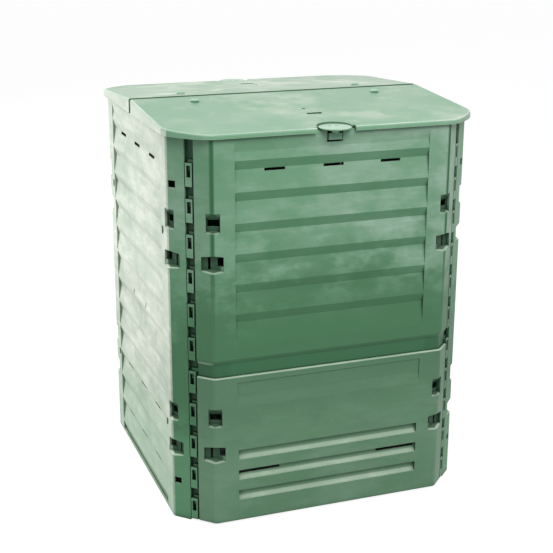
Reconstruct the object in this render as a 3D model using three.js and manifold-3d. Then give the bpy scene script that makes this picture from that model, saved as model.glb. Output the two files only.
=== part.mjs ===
// Thermal compost bin with a two-part lid: plug-together walls, lift-out flaps, ridge-hinged lid halves.
// Millimetres, +Z up. The origin is on the ground at the middle of the footprint and the front faces -Y.

import * as THREE from "three";
import { mergeVertices } from "three/addons/utils/BufferGeometryUtils.js";
import Module from "manifold-3d";

// Driving dimensions

const clearance = 0.3; // between pieces that seat on or in one another
const overrun = 2; // how far a cut runs past the face that it opens

const wall = {
  span: 780, // flat face to opposite flat face
  height: 986,
  sheet: 4,
  cornerLeg: 86, // of the cut corner
  edgeRadius: 10, // where the corner face meets the flat face
  edgeSteps: 1,
  topLedge: 14, // stiffening ledge turned inwards along the top
  topLedgeSheet: 4,
  footLedge: 14, // ledge turned inwards along the ground
  footLedgeSheet: 4,
  footRim: 6, // plain band under the boards of a side wall
};

const upperWall = {
  bandShow: 45, // from the top of the flap to the lip
  lipSlope: 13, // height of the slope under the lip
  plainMargin: 31, // above the lip, below the boards
  bandGap: 0.6, // between the band under the lip and the top edge of the flap
  overlap: 10, // how far it reaches down behind the flap
};

const flap = {
  foot: 5,
  top: 395,
  lipDepth: 6.4, // thickness of its turned top edge
  lipHeight: 6,
  lipBevel: 3,
  lift: 21.5, // that frees its hooks
  panelTop: 378, // shallow panel under the top edge
  panelFoot: 340,
  panelSlope: 28, // height of the slope below the panel
  panelHalf: 246,
  panelRecess: 2.4,
};

const board = {
  pitch: 74.6,
  ramp: 22, // height of the slope under each board
  recess: 7,
  halfWidth: 249,
  firstRamp: 59, // below the wall top
  rim: 16, // plain band above the boards
  endWeb: 3,
};

const vent = {
  pitch: 148.7,
  length: 51.8,
  height: 7,
  topDrop: 84.7, // from the wall top to the highest row
  perRow: 3,
};
const sideVentDrops = [vent.topDrop, 746, 890]; // rows of a side wall, down from its top
const gripSlot = { spacing: 127, drop: 498, length: 14, width: 4 };

const louvre = {
  halfWidth: 244,
  top: 198, // of the highest louvre
  pitch: 55.3,
  rows: 3,
  mouth: 12.5, // height of the dark mouth
  sill: 13.5, // height of the sloping sill
  depth: 9,
  sheet: 3,
  openRow: 1, // the row that is pierced
  openFrom: 133, // the pierced stretches run outwards from here
  openEdge: 4,
};

// Interlocking corner: sockets on the side walls, hooks on the front and rear pieces.
// Across the corner face, places are counted from its middle; depths are counted inwards.
const joint = {
  gap: 24.4, // between the two walls, along the corner face
  flangeSheet: 3,
  flangeDepth: 15,
  webSheet: 3,
  socketPitch: 86,
  socketHeight: 56,
  socketFoot: 4.8,
  topMargin: 30,
  socketWidth: 18,
  socketSheet: 2.6,
  socketFace: 3.5,
  ownGap: 2, // between a socket and the strip of its own wall
  window: 28, // height of the window in a socket
  windowDrop: 6, // from the top of the socket to its window
  windowEdge: 0.9,
  hookReach: 20, // how far a hook goes down into its socket
  armHeight: 7.5,
  hookFit: 0.4,
  hookSheet: 5,
  tipTaper: 2,
};

// Pockets astride the fold between a flat face and a corner face, with depths counted from the fold
const clipPocket = {
  width: 34,
  height: 48,
  depth: 16.5,
  rim: 7, // depth at which its top and foot begin to slope
  topSlope: 16.5,
  scoop: 4.6,
  hole: 16,
  holeEdge: 2.5,
  sheet: 2.5,
  off: 0, // from the fold towards the corner
};
const widePocket = {
  width: 53.6,
  height: 45.6,
  depth: 20,
  rim: 0,
  topSlope: 9.2,
  scoop: 7.5,
  slotPlace: 5.3, // from the middle of the pocket towards the corner
  slotWidth: 6,
  slotEdge: 1.5,
  holeWidth: 15,
  holeHeight: 20,
  panelMouth: 10.5, // depth of the low panel at the end of the pocket
  sheet: 2.5,
  off: 2.7,
};
const squareHole = { width: 20, height: 17, off: 14 };
const facePocket = {
  off: 42, // from the edge of the flat of a side wall
  width: 16,
  height: 22,
  depth: 8,
  rim: 0,
  topSlope: 3,
  scoop: 9,
  hole: 6,
  holeEdge: 1.5,
  sheet: 2.5,
};
const pocketHeights = {
  squareHigh: 867,
  narrowHigh: 781.5,
  wideHigh: 682,
  narrowLow: 290,
  wideLow: 192,
  squareLow: 103,
  faceHigh: 743,
  faceLow: 243,
};

const lid = {
  overhang: 10, // past the walls, all round
  seam: 16, // gap between the halves
  sheet: 4,
  rise: 33, // from the wall top to the ridge
  fall: 26, // from the ridge to the eave
  rimDrop: 4.4, // from the wall top down to the foot of the rim
  rimSheet: 4,
  cornerHandle: 28,
  cornerSteps: 5,
  edgeRadius: 4,
  edgeSteps: 2,
  seatRib: 3,
  ribDepth: 9,
  ribSheet: 2.5,
  ridgeLip: 5,
  slotLength: 39,
  slotWidth: 15,
  slotPlace: 256, // behind the ridge
  dimplePlace: 205,
  dimpleOffset: 9,
  dimpleRadius: 5,
  pressDepth: 2,
};
const lidRibPlaces = [120, 215, 305]; // distances of the cross ribs from the ridge
const lidSpineOffsets = [-300, -180, -70, 70, 180, 300]; // offsets of the ribs that run down the slope

const crossbar = {
  width: 56,
  sheet: 3,
  sideRise: 10, // of its sides over the wall top
  notchDepth: 11, // in the wall top
  hookDrop: 15,
  drainRadius: 4,
  drainPitch: 150,
};

const hinge = {
  station: 247, // offset of a hinge from the middle
  axisOffset: 18, // from the ridge plane to the hinge axis
  knuckleRadius: 5,
  knuckleLength: 30,
  earSheet: 4,
  pinRadius: 2.4,
  pinHead: 1.6,
  pinHeadRadius: 4,
  strapSheet: 4,
  strapEnd: 84,
  pegPlace: 65,
  pegHeadRadius: 11,
  pegHeadHeight: 5,
  pegShank: 3.7,
  pegTail: 6,
  pegBarb: 1.2,
};

const latch = {
  knobRadius: 40,
  knobThickness: 4,
  axisInset: 3, // from the wall face inwards
  recessGap: 4,
  rimGapHalf: 50, // half the opening in the front rim of the lid
  rimGapDepth: 15, // how far that opening goes in from the rim
  floorSheet: 2,
  floorLift: 0.5, // above the wall top
  floorMargin: 3,
  spindleRadius: 11,
  shankSide: 8,
  keyLength: 35,
  keyThickness: 16,
  keyHeight: 15.5,
  keyDrop: 8, // from the wall top to the key
  keyRound: 3,
  notchSide: 2.5, // space beside the key in the wall
  notchFoot: 5.5, // space under it
  notchBack: 1.2, // space behind the spindle, up to the strike
  strikeDepth: 10,
  strikeHeight: 6,
  dimpleSpacing: 18,
  dimpleRadius: 4,
  dimpleDepth: 2,
  knobBevel: 1.2,
};

const circleSteps = 24;
const smallCircleSteps = 12;

// Derived places

const bandInset = flap.lipDepth + upperWall.bandGap;
const upperFoot = flap.top - upperWall.overlap;
const upperLip = flap.top + upperWall.bandShow;
const flangeTop = upperFoot - flap.lift - clearance;

const face = wall.span / 2;
const flat = face - wall.cornerLeg; // half the width of a flat face
const mitre = Math.tan(Math.PI / 8);
const cornerMiddle = face - wall.cornerLeg / 2;
const stripEnd = -joint.gap / 2;
const lidHalfSpan = face + lid.overhang;
const lidFlat = lidHalfSpan - wall.cornerLeg - lid.overhang;
const ridgeTop = wall.height + lid.rise;
const rimFoot = wall.height - lid.rimDrop;
const lidSlope = lid.fall / lidHalfSpan;
const lidTopAt = (distance) => ridgeTop - lidSlope * distance;
const barTop = wall.height + crossbar.sideRise;
const notchFoot = wall.height - crossbar.notchDepth;
const hingeHeight =
  lidTopAt(hinge.axisOffset) - lid.sheet - (hinge.knuckleRadius + clearance) * Math.hypot(1, lidSlope);
const latchPlace = face - latch.axisInset;
const floorFoot = wall.height + latch.floorLift;
const floorTop = floorFoot + latch.floorSheet;
const keyTop = wall.height - latch.keyDrop;
const keyFoot = keyTop - latch.keyHeight;

const wasm = await Module();
wasm.setup();

// Solids

// A closed three.js geometry as a solid that can be joined and cut.
function solidOf(geometry) {
  const bare = geometry.clone();
  bare.deleteAttribute("normal");
  bare.deleteAttribute("uv");
  const merged = mergeVertices(bare, 1e-4);
  return new wasm.Manifold(
    new wasm.Mesh({
      numProp: 3,
      vertProperties: merged.attributes.position.array,
      triVerts: new Uint32Array(merged.index.array),
    }),
  );
}

function geometryOf(solid) {
  const mesh = solid.getMesh();
  const geometry = new THREE.BufferGeometry();
  geometry.setAttribute("position", new THREE.BufferAttribute(new Float32Array(mesh.vertProperties), 3));
  geometry.setIndex(new THREE.BufferAttribute(new Uint32Array(mesh.triVerts), 1));
  return geometry;
}

// The geometry moved by a matrix, with its faces turned back outwards where the matrix mirrors it.
function movedGeometry(geometry, matrix) {
  const moved = geometry.clone().applyMatrix4(matrix);
  if (matrix.determinant() < 0) {
    const order = moved.index.array;
    for (let i = 0; i < order.length; i += 3) {
      [order[i + 1], order[i + 2]] = [order[i + 2], order[i + 1]];
    }
  }
  return moved;
}

const movedSolid = (solid, matrix) => solidOf(movedGeometry(geometryOf(solid), matrix));
const mirroredX = new THREE.Matrix4().makeScale(-1, 1, 1);
const withMirror = (solid) => solid.add(movedSolid(solid, mirroredX));
const joined = (solids) => solids.reduce((all, one) => all.add(one));
const cutBy = (solid, cuts) => cuts.reduce((left, one) => left.subtract(one), solid);

function box(xs, ys, zs) {
  const geometry = new THREE.BoxGeometry(xs[1] - xs[0], ys[1] - ys[0], zs[1] - zs[0]);
  geometry.translate((xs[0] + xs[1]) / 2, (ys[0] + ys[1]) / 2, (zs[0] + zs[1]) / 2);
  return solidOf(geometry);
}

// Axes of an extruded outline: which way its first coordinate, second coordinate and length run.
const acrossX = new THREE.Matrix4().set(0, 0, 1, 0, 1, 0, 0, 0, 0, 1, 0, 0, 0, 0, 0, 1);

function outlineShape(points) {
  return new THREE.Shape(points.map(([a, b]) => new THREE.Vector2(a, b)));
}

// An outline of x and y carried up from one height to another.
function upright(points, zs) {
  const geometry = new THREE.ExtrudeGeometry(outlineShape(points), {
    depth: zs[1] - zs[0],
    bevelEnabled: false,
  });
  geometry.translate(0, 0, zs[0]);
  return solidOf(geometry);
}

// An outline of y and z carried along x.
function alongX(points, xs) {
  const geometry = new THREE.ExtrudeGeometry(outlineShape(points), {
    depth: xs[1] - xs[0],
    bevelEnabled: false,
  });
  geometry.translate(0, 0, xs[0]);
  return solidOf(geometry.applyMatrix4(acrossX));
}

function rod(radius, zs, centre, steps = circleSteps) {
  const geometry = new THREE.CylinderGeometry(radius, radius, zs[1] - zs[0], steps);
  geometry.rotateX(Math.PI / 2);
  geometry.translate(centre[0], centre[1], (zs[0] + zs[1]) / 2);
  return solidOf(geometry);
}

function rodAlongX(radius, xs, centre, steps = smallCircleSteps) {
  const geometry = new THREE.CylinderGeometry(radius, radius, xs[1] - xs[0], steps);
  geometry.rotateZ(Math.PI / 2);
  geometry.translate((xs[0] + xs[1]) / 2, centre[0], centre[1]);
  return solidOf(geometry);
}

// A solid of revolution about a vertical axis, from an outline of radius and height that ends on the axis.
function turned(outline, centre, steps = circleSteps) {
  const points = outline.map(([radius, height]) => new THREE.Vector2(radius, height));
  const geometry = new THREE.LatheGeometry(points, steps);
  geometry.rotateX(Math.PI / 2);
  geometry.translate(centre[0], centre[1], 0);
  return solidOf(geometry);
}

// A solid through outlines of equal point count, each at its own height.
function lofted(levels) {
  const count = levels[0].points.length;
  const positions = levels.flatMap(({ z, points }) => points.flatMap(([x, y]) => [x, y, z]));
  const index = [];
  for (let level = 0; level + 1 < levels.length; level++) {
    for (let i = 0; i < count; i++) {
      const a = level * count + i;
      const b = level * count + ((i + 1) % count);
      index.push(a, b, b + count, a, b + count, a + count);
    }
  }
  const cap = (points) =>
    THREE.ShapeUtils.triangulateShape(points.map(([x, y]) => new THREE.Vector2(x, y)), []);
  for (const [a, b, c] of cap(levels[0].points)) {
    index.push(a, c, b);
  }
  const last = (levels.length - 1) * count;
  for (const [a, b, c] of cap(levels.at(-1).points)) {
    index.push(last + a, last + b, last + c);
  }
  const geometry = new THREE.BufferGeometry();
  geometry.setAttribute("position", new THREE.Float32BufferAttribute(positions, 3));
  geometry.setIndex(index);
  return solidOf(geometry);
}

// Wall sections, drawn for the wall that faces -Y

// A place on the right-hand corner face: along it towards the next wall, and outwards from it.
function cornerPoint(along, out) {
  return [cornerMiddle + (along + out) / Math.SQRT2, -cornerMiddle + (along - out) / Math.SQRT2];
}

// The right half of a wall face at an inset, from the middle of the flat to the end of its corner strip.
function facePath(inset) {
  const corner = [flat - inset * mitre, -face + inset];
  const tangent = wall.edgeRadius * mitre;
  const centre = [corner[0] - tangent, corner[1] + wall.edgeRadius];
  const path = [];
  for (let step = 0; step <= wall.edgeSteps; step++) {
    const turn = ((Math.PI / 4) * step) / wall.edgeSteps;
    path.push([
      centre[0] + wall.edgeRadius * Math.sin(turn),
      centre[1] - wall.edgeRadius * Math.cos(turn),
    ]);
  }
  return path;
}

const mirroredPoints = (points) => points.map(([x, y]) => [-x, y]).reverse();

// A closed section of a wall: sheet, corner strips and the flanges turned in at the ends of the strips.
function wallSection(inset, thickness) {
  const inner = inset + thickness;
  const right = [
    ...facePath(inset),
    cornerPoint(stripEnd, -inset),
    cornerPoint(stripEnd, -joint.flangeDepth),
    cornerPoint(stripEnd - joint.flangeSheet, -joint.flangeDepth),
    cornerPoint(stripEnd - joint.flangeSheet, -inner),
    ...facePath(inner).reverse(),
  ];
  return [...right, ...mirroredPoints(right)];
}

// Boards: each one is recessed at its top and comes out flush at its foot, where a ramp leads in again

// Depth and height of the board face, from the top of the wall down to a foot.
function boardProfile(foot) {
  const profile = [];
  const slopeLength = board.pitch - board.ramp;
  let rampTop = wall.height - board.firstRamp;
  const underRim = board.firstRamp - board.rim - board.ramp;
  profile.push([0, wall.height]);
  profile.push([0, wall.height - board.rim]);
  profile.push([(board.recess * underRim) / slopeLength, rampTop + underRim]);
  while (rampTop - board.ramp > foot) {
    profile.push([0, rampTop]);
    profile.push([board.recess, rampTop - board.ramp]);
    rampTop -= board.pitch;
  }
  const [, lastHeight] = profile.at(-1);
  const left = Math.max(0, 1 - (lastHeight - foot) / slopeLength);
  profile.push([board.recess * left, foot]);
  return profile;
}

// The plain wall with boards pressed into its flat.
function withBoards(plain, foot) {
  const profile = boardProfile(foot);
  const thick = profile.map(([depth, z]) => [-face + depth + wall.sheet, z]);
  const [, top] = profile[0];
  const backing = alongX(
    [[-face, top], ...thick, [-face, foot]],
    [-board.halfWidth - board.endWeb, board.halfWidth + board.endWeb],
  );
  const raised = profile.map(([depth, z], i) => {
    const pastEnd = i === 0 ? overrun : 0;
    return [-face + depth, z + pastEnd];
  });
  const recess = alongX(
    [[-face - overrun, top + overrun], ...raised, [-face - overrun, foot]],
    [-board.halfWidth, board.halfWidth],
  );
  return plain.add(backing).subtract(recess);
}

function ventRow(z, spacing = vent.pitch) {
  const slots = [];
  for (let i = 0; i < vent.perRow; i++) {
    const x = (i - (vent.perRow - 1) / 2) * spacing;
    slots.push(
      box(
        [x - vent.length / 2, x + vent.length / 2],
        [-face - overrun, -face + board.recess + wall.sheet + overrun],
        [z - vent.height / 2, z + vent.height / 2],
      ),
    );
  }
  return slots;
}

// Clip pockets. Each is drawn with its face on y = 0, looking towards -y, and then set in a wall.

function pocketPart(size) {
  const [half, tall] = [size.width / 2, size.height / 2];
  const linerOutline = [
    [-overrun, tall + size.sheet],
    [size.rim, tall + size.sheet],
    [size.depth + size.sheet, tall - size.topSlope + size.sheet],
    [size.depth + size.sheet, -tall + size.scoop - size.sheet],
    [size.rim, -tall - size.sheet],
    [-overrun, -tall - size.sheet],
  ];
  const liner = alongX(linerOutline, [-half - size.sheet, half + size.sheet]);
  const cavityOutline = [
    [-overrun, tall],
    [size.rim, tall],
    [size.depth, tall - size.topSlope],
    [size.depth, -tall + size.scoop],
    [size.rim, -tall],
    [-overrun, -tall],
  ];
  const cavity = alongX(cavityOutline, [-half, half]);
  return { liner, cavity };
}

function narrowPocket(size = clipPocket) {
  const { liner, cavity } = pocketPart(size);
  const half = size.width / 2 - size.holeEdge;
  const top = size.height / 2 - size.topSlope;
  const through = [size.depth - overrun, size.depth + size.sheet + overrun];
  const hole = box([-half, half], through, [top - size.hole, top]);
  return { add: [liner], cut: [cavity, hole], keep: [] };
}

// The wide pocket has an upright slot, and a hole at its end with a low panel aslant below it.
function widePocketPart() {
  const size = widePocket;
  const { liner, cavity } = pocketPart(size);
  const end = -size.width / 2;
  const back = size.depth + size.sheet;
  const low = -size.height / 2 + size.scoop;
  const high = size.height / 2 - size.topSlope;
  const slotEnd = size.slotPlace + size.slotWidth;
  const slot = box([size.slotPlace, slotEnd], [size.depth - overrun, back + overrun], [low, high]);
  const hole = box(
    [end + size.slotEdge, end + size.holeWidth],
    [size.depth - overrun, back + overrun],
    [high - size.holeHeight, high],
  );
  const panel = upright(
    [
      [size.slotPlace - size.slotEdge, back],
      [end - size.sheet, back],
      [end - size.sheet, size.panelMouth],
    ],
    [-size.height / 2, high - size.holeHeight],
  );
  return { add: [liner], cut: [cavity, slot, hole], keep: [panel.intersect(liner)] };
}

function squarePocket() {
  const half = squareHole.width / 2;
  const tall = squareHole.height / 2;
  const hole = box([-half, half], [-overrun, wall.sheet + overrun], [-tall, tall]);
  return { add: [], cut: [hole], keep: [] };
}

function setPocket(part, matrix) {
  const move = (solids) => solids.map((solid) => movedSolid(solid, matrix));
  return { add: move(part.add), cut: move(part.cut), keep: move(part.keep) };
}

const onFlat = (x, z) => new THREE.Matrix4().makeTranslation(x, -face, z);

// Astride the right-hand fold, counted from it towards the corner.
function onFold(along, z) {
  const place = new THREE.Matrix4().makeTranslation(flat, -face, z);
  const turn = new THREE.Matrix4().makeRotationZ(Math.PI / 8);
  return place.multiply(turn).multiply(new THREE.Matrix4().makeTranslation(along, 0, 0));
}

// On the right-hand corner face, counted from the edge between the corner face and the flat.
function onCorner(fromEdge, z) {
  const along = fromEdge - (wall.cornerLeg / 2) * Math.SQRT2;
  const [x, y] = cornerPoint(along, 0);
  const turn = new THREE.Matrix4().makeRotationZ(Math.PI / 4);
  return new THREE.Matrix4().makeTranslation(x, y, z).multiply(turn);
}

// Liners join the wall first, cut off at its outer faces, then every cavity is cut, then the panels go in.
function withPockets(solid, pockets) {
  const outer = [...facePath(0), [face, -flat], [face, 0]];
  const inside = upright([...outer, ...mirroredPoints(outer)], [0, wall.height]);
  const both = (parts) => parts.flatMap((part) => [part, movedSolid(part, mirroredX)]);
  const liners = both(pockets.flatMap((pocket) => pocket.add)).map((liner) => liner.intersect(inside));
  const lined = joined([solid, ...liners]);
  const opened = cutBy(lined, both(pockets.flatMap((pocket) => pocket.cut)));
  return joined([opened, ...both(pockets.flatMap((pocket) => pocket.keep))]);
}

// Interlocking corner

// Tops of the sockets up a side wall.
function socketTops() {
  const lowest = joint.socketFoot + joint.socketHeight;
  const count = 1 + Math.floor((wall.height - joint.topMargin - lowest) / joint.socketPitch);
  return Array.from({ length: count }, (_, i) => lowest + i * joint.socketPitch);
}

const cornerBlock = (alongs, outs, zs) =>
  upright(
    [
      cornerPoint(alongs[0], outs[0]),
      cornerPoint(alongs[1], outs[0]),
      cornerPoint(alongs[1], outs[1]),
      cornerPoint(alongs[0], outs[1]),
    ],
    zs,
  );

const socketFrom = stripEnd + joint.ownGap;
const socketTo = socketFrom + joint.socketWidth;
const webOut = -joint.flangeDepth + joint.webSheet;

// The web behind the sockets and the sockets that stand on it, at the right-hand end of a side wall.
function socketStrip() {
  const webAlongs = [stripEnd - joint.flangeSheet, socketTo];
  const web = cornerBlock(webAlongs, [-joint.flangeDepth, webOut], [0, wall.height]);
  const sockets = socketTops().map((top) => {
    const zs = [top - joint.socketHeight, top];
    const block = cornerBlock([socketFrom, socketTo], [webOut - joint.webSheet / 2, 0], zs);
    const cavity = cornerBlock(
      [socketFrom + joint.socketSheet, socketTo - joint.socketSheet],
      [webOut, -joint.socketFace],
      [zs[0] - overrun, top + overrun],
    );
    const windowTop = top - joint.windowDrop;
    const window = cornerBlock(
      [socketFrom + joint.socketSheet + joint.windowEdge, socketTo - joint.socketSheet - joint.windowEdge],
      [-joint.socketFace - overrun, overrun],
      [windowTop - joint.window, windowTop],
    );
    return block.subtract(cavity).subtract(window);
  });
  return joined([web, ...sockets]);
}

// A hook at the right-hand end of a front or rear piece, with its arm over a socket and its prong inside.
function hook(top) {
  const near = -socketTo + joint.socketSheet + joint.hookFit;
  const far = -socketFrom - joint.socketSheet - joint.hookFit * 2;
  const prongTo = Math.min(far, near + joint.socketWidth - joint.socketSheet * 3);
  const outs = [webOut + joint.hookFit, webOut + joint.hookFit + joint.hookSheet];
  const armAlongs = [stripEnd - joint.flangeSheet / 2, prongTo];
  const arm = cornerBlock(armAlongs, outs, [top + clearance, top + joint.armHeight]);
  const tip = top - joint.hookReach;
  const square = (inset) => [
    cornerPoint(near + inset, outs[0] + inset),
    cornerPoint(near + inset, outs[1] - inset),
    cornerPoint(prongTo - inset, outs[1] - inset),
    cornerPoint(prongTo - inset, outs[0] + inset),
  ];
  const prong = lofted([
    { z: tip, points: square(joint.tipTaper / 2) },
    { z: tip + joint.tipTaper * 2, points: square(0) },
    { z: top + joint.armHeight, points: square(0) },
  ]);
  return arm.add(prong);
}

// Walls

function topLedge(halfWidth) {
  return box(
    [-halfWidth, halfWidth],
    [-face + wall.sheet / 2, -face + wall.sheet + wall.topLedge],
    [wall.height - wall.topLedgeSheet, wall.height],
  );
}

function buildSideWall() {
  const plain = lofted([
    { z: 0, points: wallSection(0, wall.sheet) },
    { z: wall.height, points: wallSection(0, wall.sheet) },
  ]);
  const ledgeHalf = board.halfWidth + board.endWeb;
  const footLedge = box(
    [-ledgeHalf, ledgeHalf],
    [-face + wall.sheet / 2, -face + wall.sheet + wall.footLedge],
    [0, wall.footLedgeSheet],
  );
  const boarded = withBoards(plain, wall.footRim).add(topLedge(flat - wall.topLedge)).add(footLedge);
  const socketed = boarded.add(withMirror(socketStrip()));
  const high = pocketHeights;
  const pockets = [
    setPocket(squarePocket(), onCorner(squareHole.off, high.squareHigh)),
    setPocket(narrowPocket(), onFold(clipPocket.off, high.narrowHigh)),
    setPocket(widePocketPart(), onFold(widePocket.off, high.wideHigh)),
    setPocket(narrowPocket(), onFold(clipPocket.off, high.narrowLow)),
    setPocket(widePocketPart(), onFold(widePocket.off, high.wideLow)),
    setPocket(squarePocket(), onCorner(squareHole.off, high.squareLow)),
    setPocket(narrowPocket(facePocket), onFlat(flat - facePocket.off, high.faceHigh)),
    setPocket(narrowPocket(facePocket), onFlat(flat - facePocket.off, high.faceLow)),
  ];
  const vents = sideVentDrops.flatMap((drop) => ventRow(wall.height - drop));
  const gripHeight = wall.height - gripSlot.drop;
  const grips = [-1, 1].map((side) => {
    const x = (side * gripSlot.spacing) / 2;
    return box(
      [x - gripSlot.width / 2, x + gripSlot.width / 2],
      [-face - overrun, -face + board.recess + wall.sheet + overrun],
      [gripHeight - gripSlot.length / 2, gripHeight + gripSlot.length / 2],
    );
  });
  const halfNotch = crossbar.width / 2 + clearance;
  const notch = box(
    [-halfNotch, halfNotch],
    [-face - overrun, -face + wall.sheet + wall.topLedge + overrun],
    [notchFoot, wall.height + overrun],
  );
  return cutBy(withPockets(socketed, pockets), [...vents, ...grips, notch]);
}

function buildUpperWall() {
  const plain = lofted([
    { z: upperFoot, points: wallSection(bandInset, wall.sheet) },
    { z: upperLip - upperWall.lipSlope, points: wallSection(bandInset, wall.sheet) },
    { z: upperLip, points: wallSection(0, wall.sheet) },
    { z: wall.height, points: wallSection(0, wall.sheet) },
  ]);
  const strikeHalf = latch.keyLength / 2 + latch.notchSide * 2;
  const notchBack = -latchPlace + latch.spindleRadius + latch.notchBack;
  const strike = box(
    [-strikeHalf, strikeHalf],
    [notchBack, notchBack + latch.strikeDepth],
    [wall.height - latch.strikeHeight, wall.height],
  );
  const boardFoot = upperLip + upperWall.plainMargin;
  const boarded = withBoards(plain, boardFoot).add(topLedge(flat - wall.topLedge)).add(strike);
  const tops = socketTops().filter((top) => top > upperFoot);
  const hooked = boarded.add(withMirror(joined(tops.map(hook))));
  const pockets = [
    setPocket(narrowPocket(), onFold(clipPocket.off, pocketHeights.narrowHigh)),
    setPocket(widePocketPart(), onFold(widePocket.off, pocketHeights.wideHigh)),
  ];
  const notchHalf = latch.keyLength / 2 + latch.notchSide;
  const notch = box(
    [-notchHalf, notchHalf],
    [-face - overrun, notchBack],
    [keyFoot - latch.notchFoot, wall.height + overrun],
  );
  const vents = ventRow(wall.height - vent.topDrop);
  return cutBy(withPockets(hooked, pockets), [...vents, notch]);
}

// The hollow curve of a sill, from its foot at the face to its top at the back: shares of depth and height.
const sillShares = [
  [0, 0],
  [0.38, 0.1],
  [0.72, 0.34],
  [0.92, 0.66],
  [1, 1],
];

// Louvres across the flap: a dark mouth with a sill that curves out to the face.
function louvreParts() {
  const adds = [];
  const cuts = [];
  for (let row = 0; row < louvre.rows; row++) {
    const top = louvre.top - row * louvre.pitch;
    const sillTop = top - louvre.mouth;
    const foot = sillTop - louvre.sill;
    const back = -face + louvre.depth;
    adds.push(
      alongX(
        [
          [-face, foot - louvre.sheet],
          [-face + louvre.depth / 2, foot - louvre.sheet],
          [back + louvre.sheet, sillTop - louvre.sheet],
          [back + louvre.sheet, top + louvre.sheet],
          [-face, top + louvre.sheet],
        ],
        [-louvre.halfWidth - louvre.sheet, louvre.halfWidth + louvre.sheet],
      ),
    );
    cuts.push(
      alongX(
        [
          [-face - overrun, foot],
          ...sillShares.map(([deep, high]) => [-face + louvre.depth * deep, foot + louvre.sill * high]),
          [back, top],
          [-face - overrun, top],
        ],
        [-louvre.halfWidth, louvre.halfWidth],
      ),
    );
    if (row === louvre.openRow) {
      for (const side of [-1, 1]) {
        const ends = [side * louvre.openFrom, side * (louvre.halfWidth - louvre.openEdge)];
        cuts.push(
          box(
            [Math.min(...ends), Math.max(...ends)],
            [back - overrun, back + louvre.sheet + overrun],
            [sillTop, top],
          ),
        );
      }
    }
  }
  return { adds, cuts };
}

function buildFlap() {
  const outer = wallSection(0, wall.sheet);
  const plain = lofted([
    { z: flap.foot, points: outer },
    { z: flap.top - flap.lipHeight, points: outer },
    { z: flap.top - flap.lipBevel, points: wallSection(0, flap.lipDepth) },
    { z: flap.top, points: wallSection(flap.lipBevel, flap.lipDepth - flap.lipBevel) },
  ]);
  const panel = [
    [0, flap.panelTop],
    [flap.panelRecess, flap.panelTop - flap.panelRecess],
    [flap.panelRecess, flap.panelFoot],
    [0, flap.panelFoot - flap.panelSlope],
  ].map(([depth, z]) => [-face + depth, z]);
  const panelEnds = [-flap.panelHalf, flap.panelHalf];
  const backed = alongX(
    panel.map(([y, z]) => [y + wall.sheet, z]).concat([[-face, panel.at(-1)[1]], [-face, panel[0][1]]]),
    [panelEnds[0] - wall.sheet, panelEnds[1] + wall.sheet],
  );
  const front = -face - overrun;
  const pressed = alongX([[front, panel[0][1]], ...panel, [front, panel.at(-1)[1]]], panelEnds);
  const tops = socketTops().filter(
    (top) => top - joint.hookReach > flap.foot && top + joint.armHeight < flangeTop,
  );
  // The end flanges stop below the wall above, so that the flap can rise behind its lip.
  const flangeCut = cornerBlock(
    [stripEnd - joint.flangeSheet - overrun, stripEnd + overrun],
    [-flap.lipDepth, -joint.flangeDepth - overrun],
    [flangeTop, flap.top + overrun],
  );
  const lowered = plain.subtract(withMirror(flangeCut));
  const { adds, cuts } = louvreParts();
  const ribbed = joined([lowered, backed, withMirror(joined(tops.map(hook))), ...adds]);
  const pockets = [
    setPocket(narrowPocket(), onFold(clipPocket.off, pocketHeights.narrowLow)),
    setPocket(widePocketPart(), onFold(widePocket.off, pocketHeights.wideLow)),
  ];
  return withPockets(cutBy(ribbed, [pressed, ...cuts]), pockets);
}

// Lid half, drawn for the front. It is made with a level top at zero and then sheared to its fall.

const lidFall = new THREE.Matrix4().set(1, 0, 0, 0, 0, 1, 0, 0, 0, lidSlope, 1, ridgeTop, 0, 0, 0, 1);

// The plan of a lid half at an inset from its rim. The ridge edge stays where it is asked to be.
function lidOutline(inset, ridgeEdge) {
  const half = lidHalfSpan - inset;
  const straight = lidFlat - inset * mitre;
  const shape = new THREE.Shape();
  shape.moveTo(-half, -ridgeEdge);
  shape.lineTo(-half, -straight);
  const handle = straight + lid.cornerHandle;
  shape.bezierCurveTo(-half, -handle, -handle, -half, -straight, -half);
  shape.lineTo(straight, -half);
  shape.bezierCurveTo(handle, -half, half, -handle, half, -straight);
  shape.lineTo(half, -ridgeEdge);
  return shape;
}

function lidPrism(shape, zs) {
  const geometry = new THREE.ExtrudeGeometry(shape, {
    depth: zs[1] - zs[0],
    bevelEnabled: false,
    curveSegments: lid.cornerSteps,
  });
  geometry.translate(0, 0, zs[0]);
  return solidOf(geometry);
}

// The outer form, with a rounded top edge made of thin layers.
function lidEnvelope(depth) {
  const ridge = lid.seam / 2;
  const levels = [];
  for (let step = 0; step <= lid.edgeSteps; step++) {
    const turn = ((Math.PI / 2) * step) / lid.edgeSteps;
    const inset = lid.edgeRadius * (1 - Math.cos(turn));
    const z = lid.edgeRadius * (Math.sin(turn) - 1);
    levels.push({ z, points: lidPoints(inset, ridge) });
  }
  levels.unshift({ z: -depth, points: lidPoints(0, ridge) });
  return lofted(levels);
}

function lidPoints(inset, ridgeEdge) {
  const { shape } = lidOutline(inset, ridgeEdge).extractPoints(lid.cornerSteps);
  const points = shape.map((point) => [point.x, point.y]);
  return THREE.ShapeUtils.isClockWise(shape) ? points.reverse() : points;
}

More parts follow.
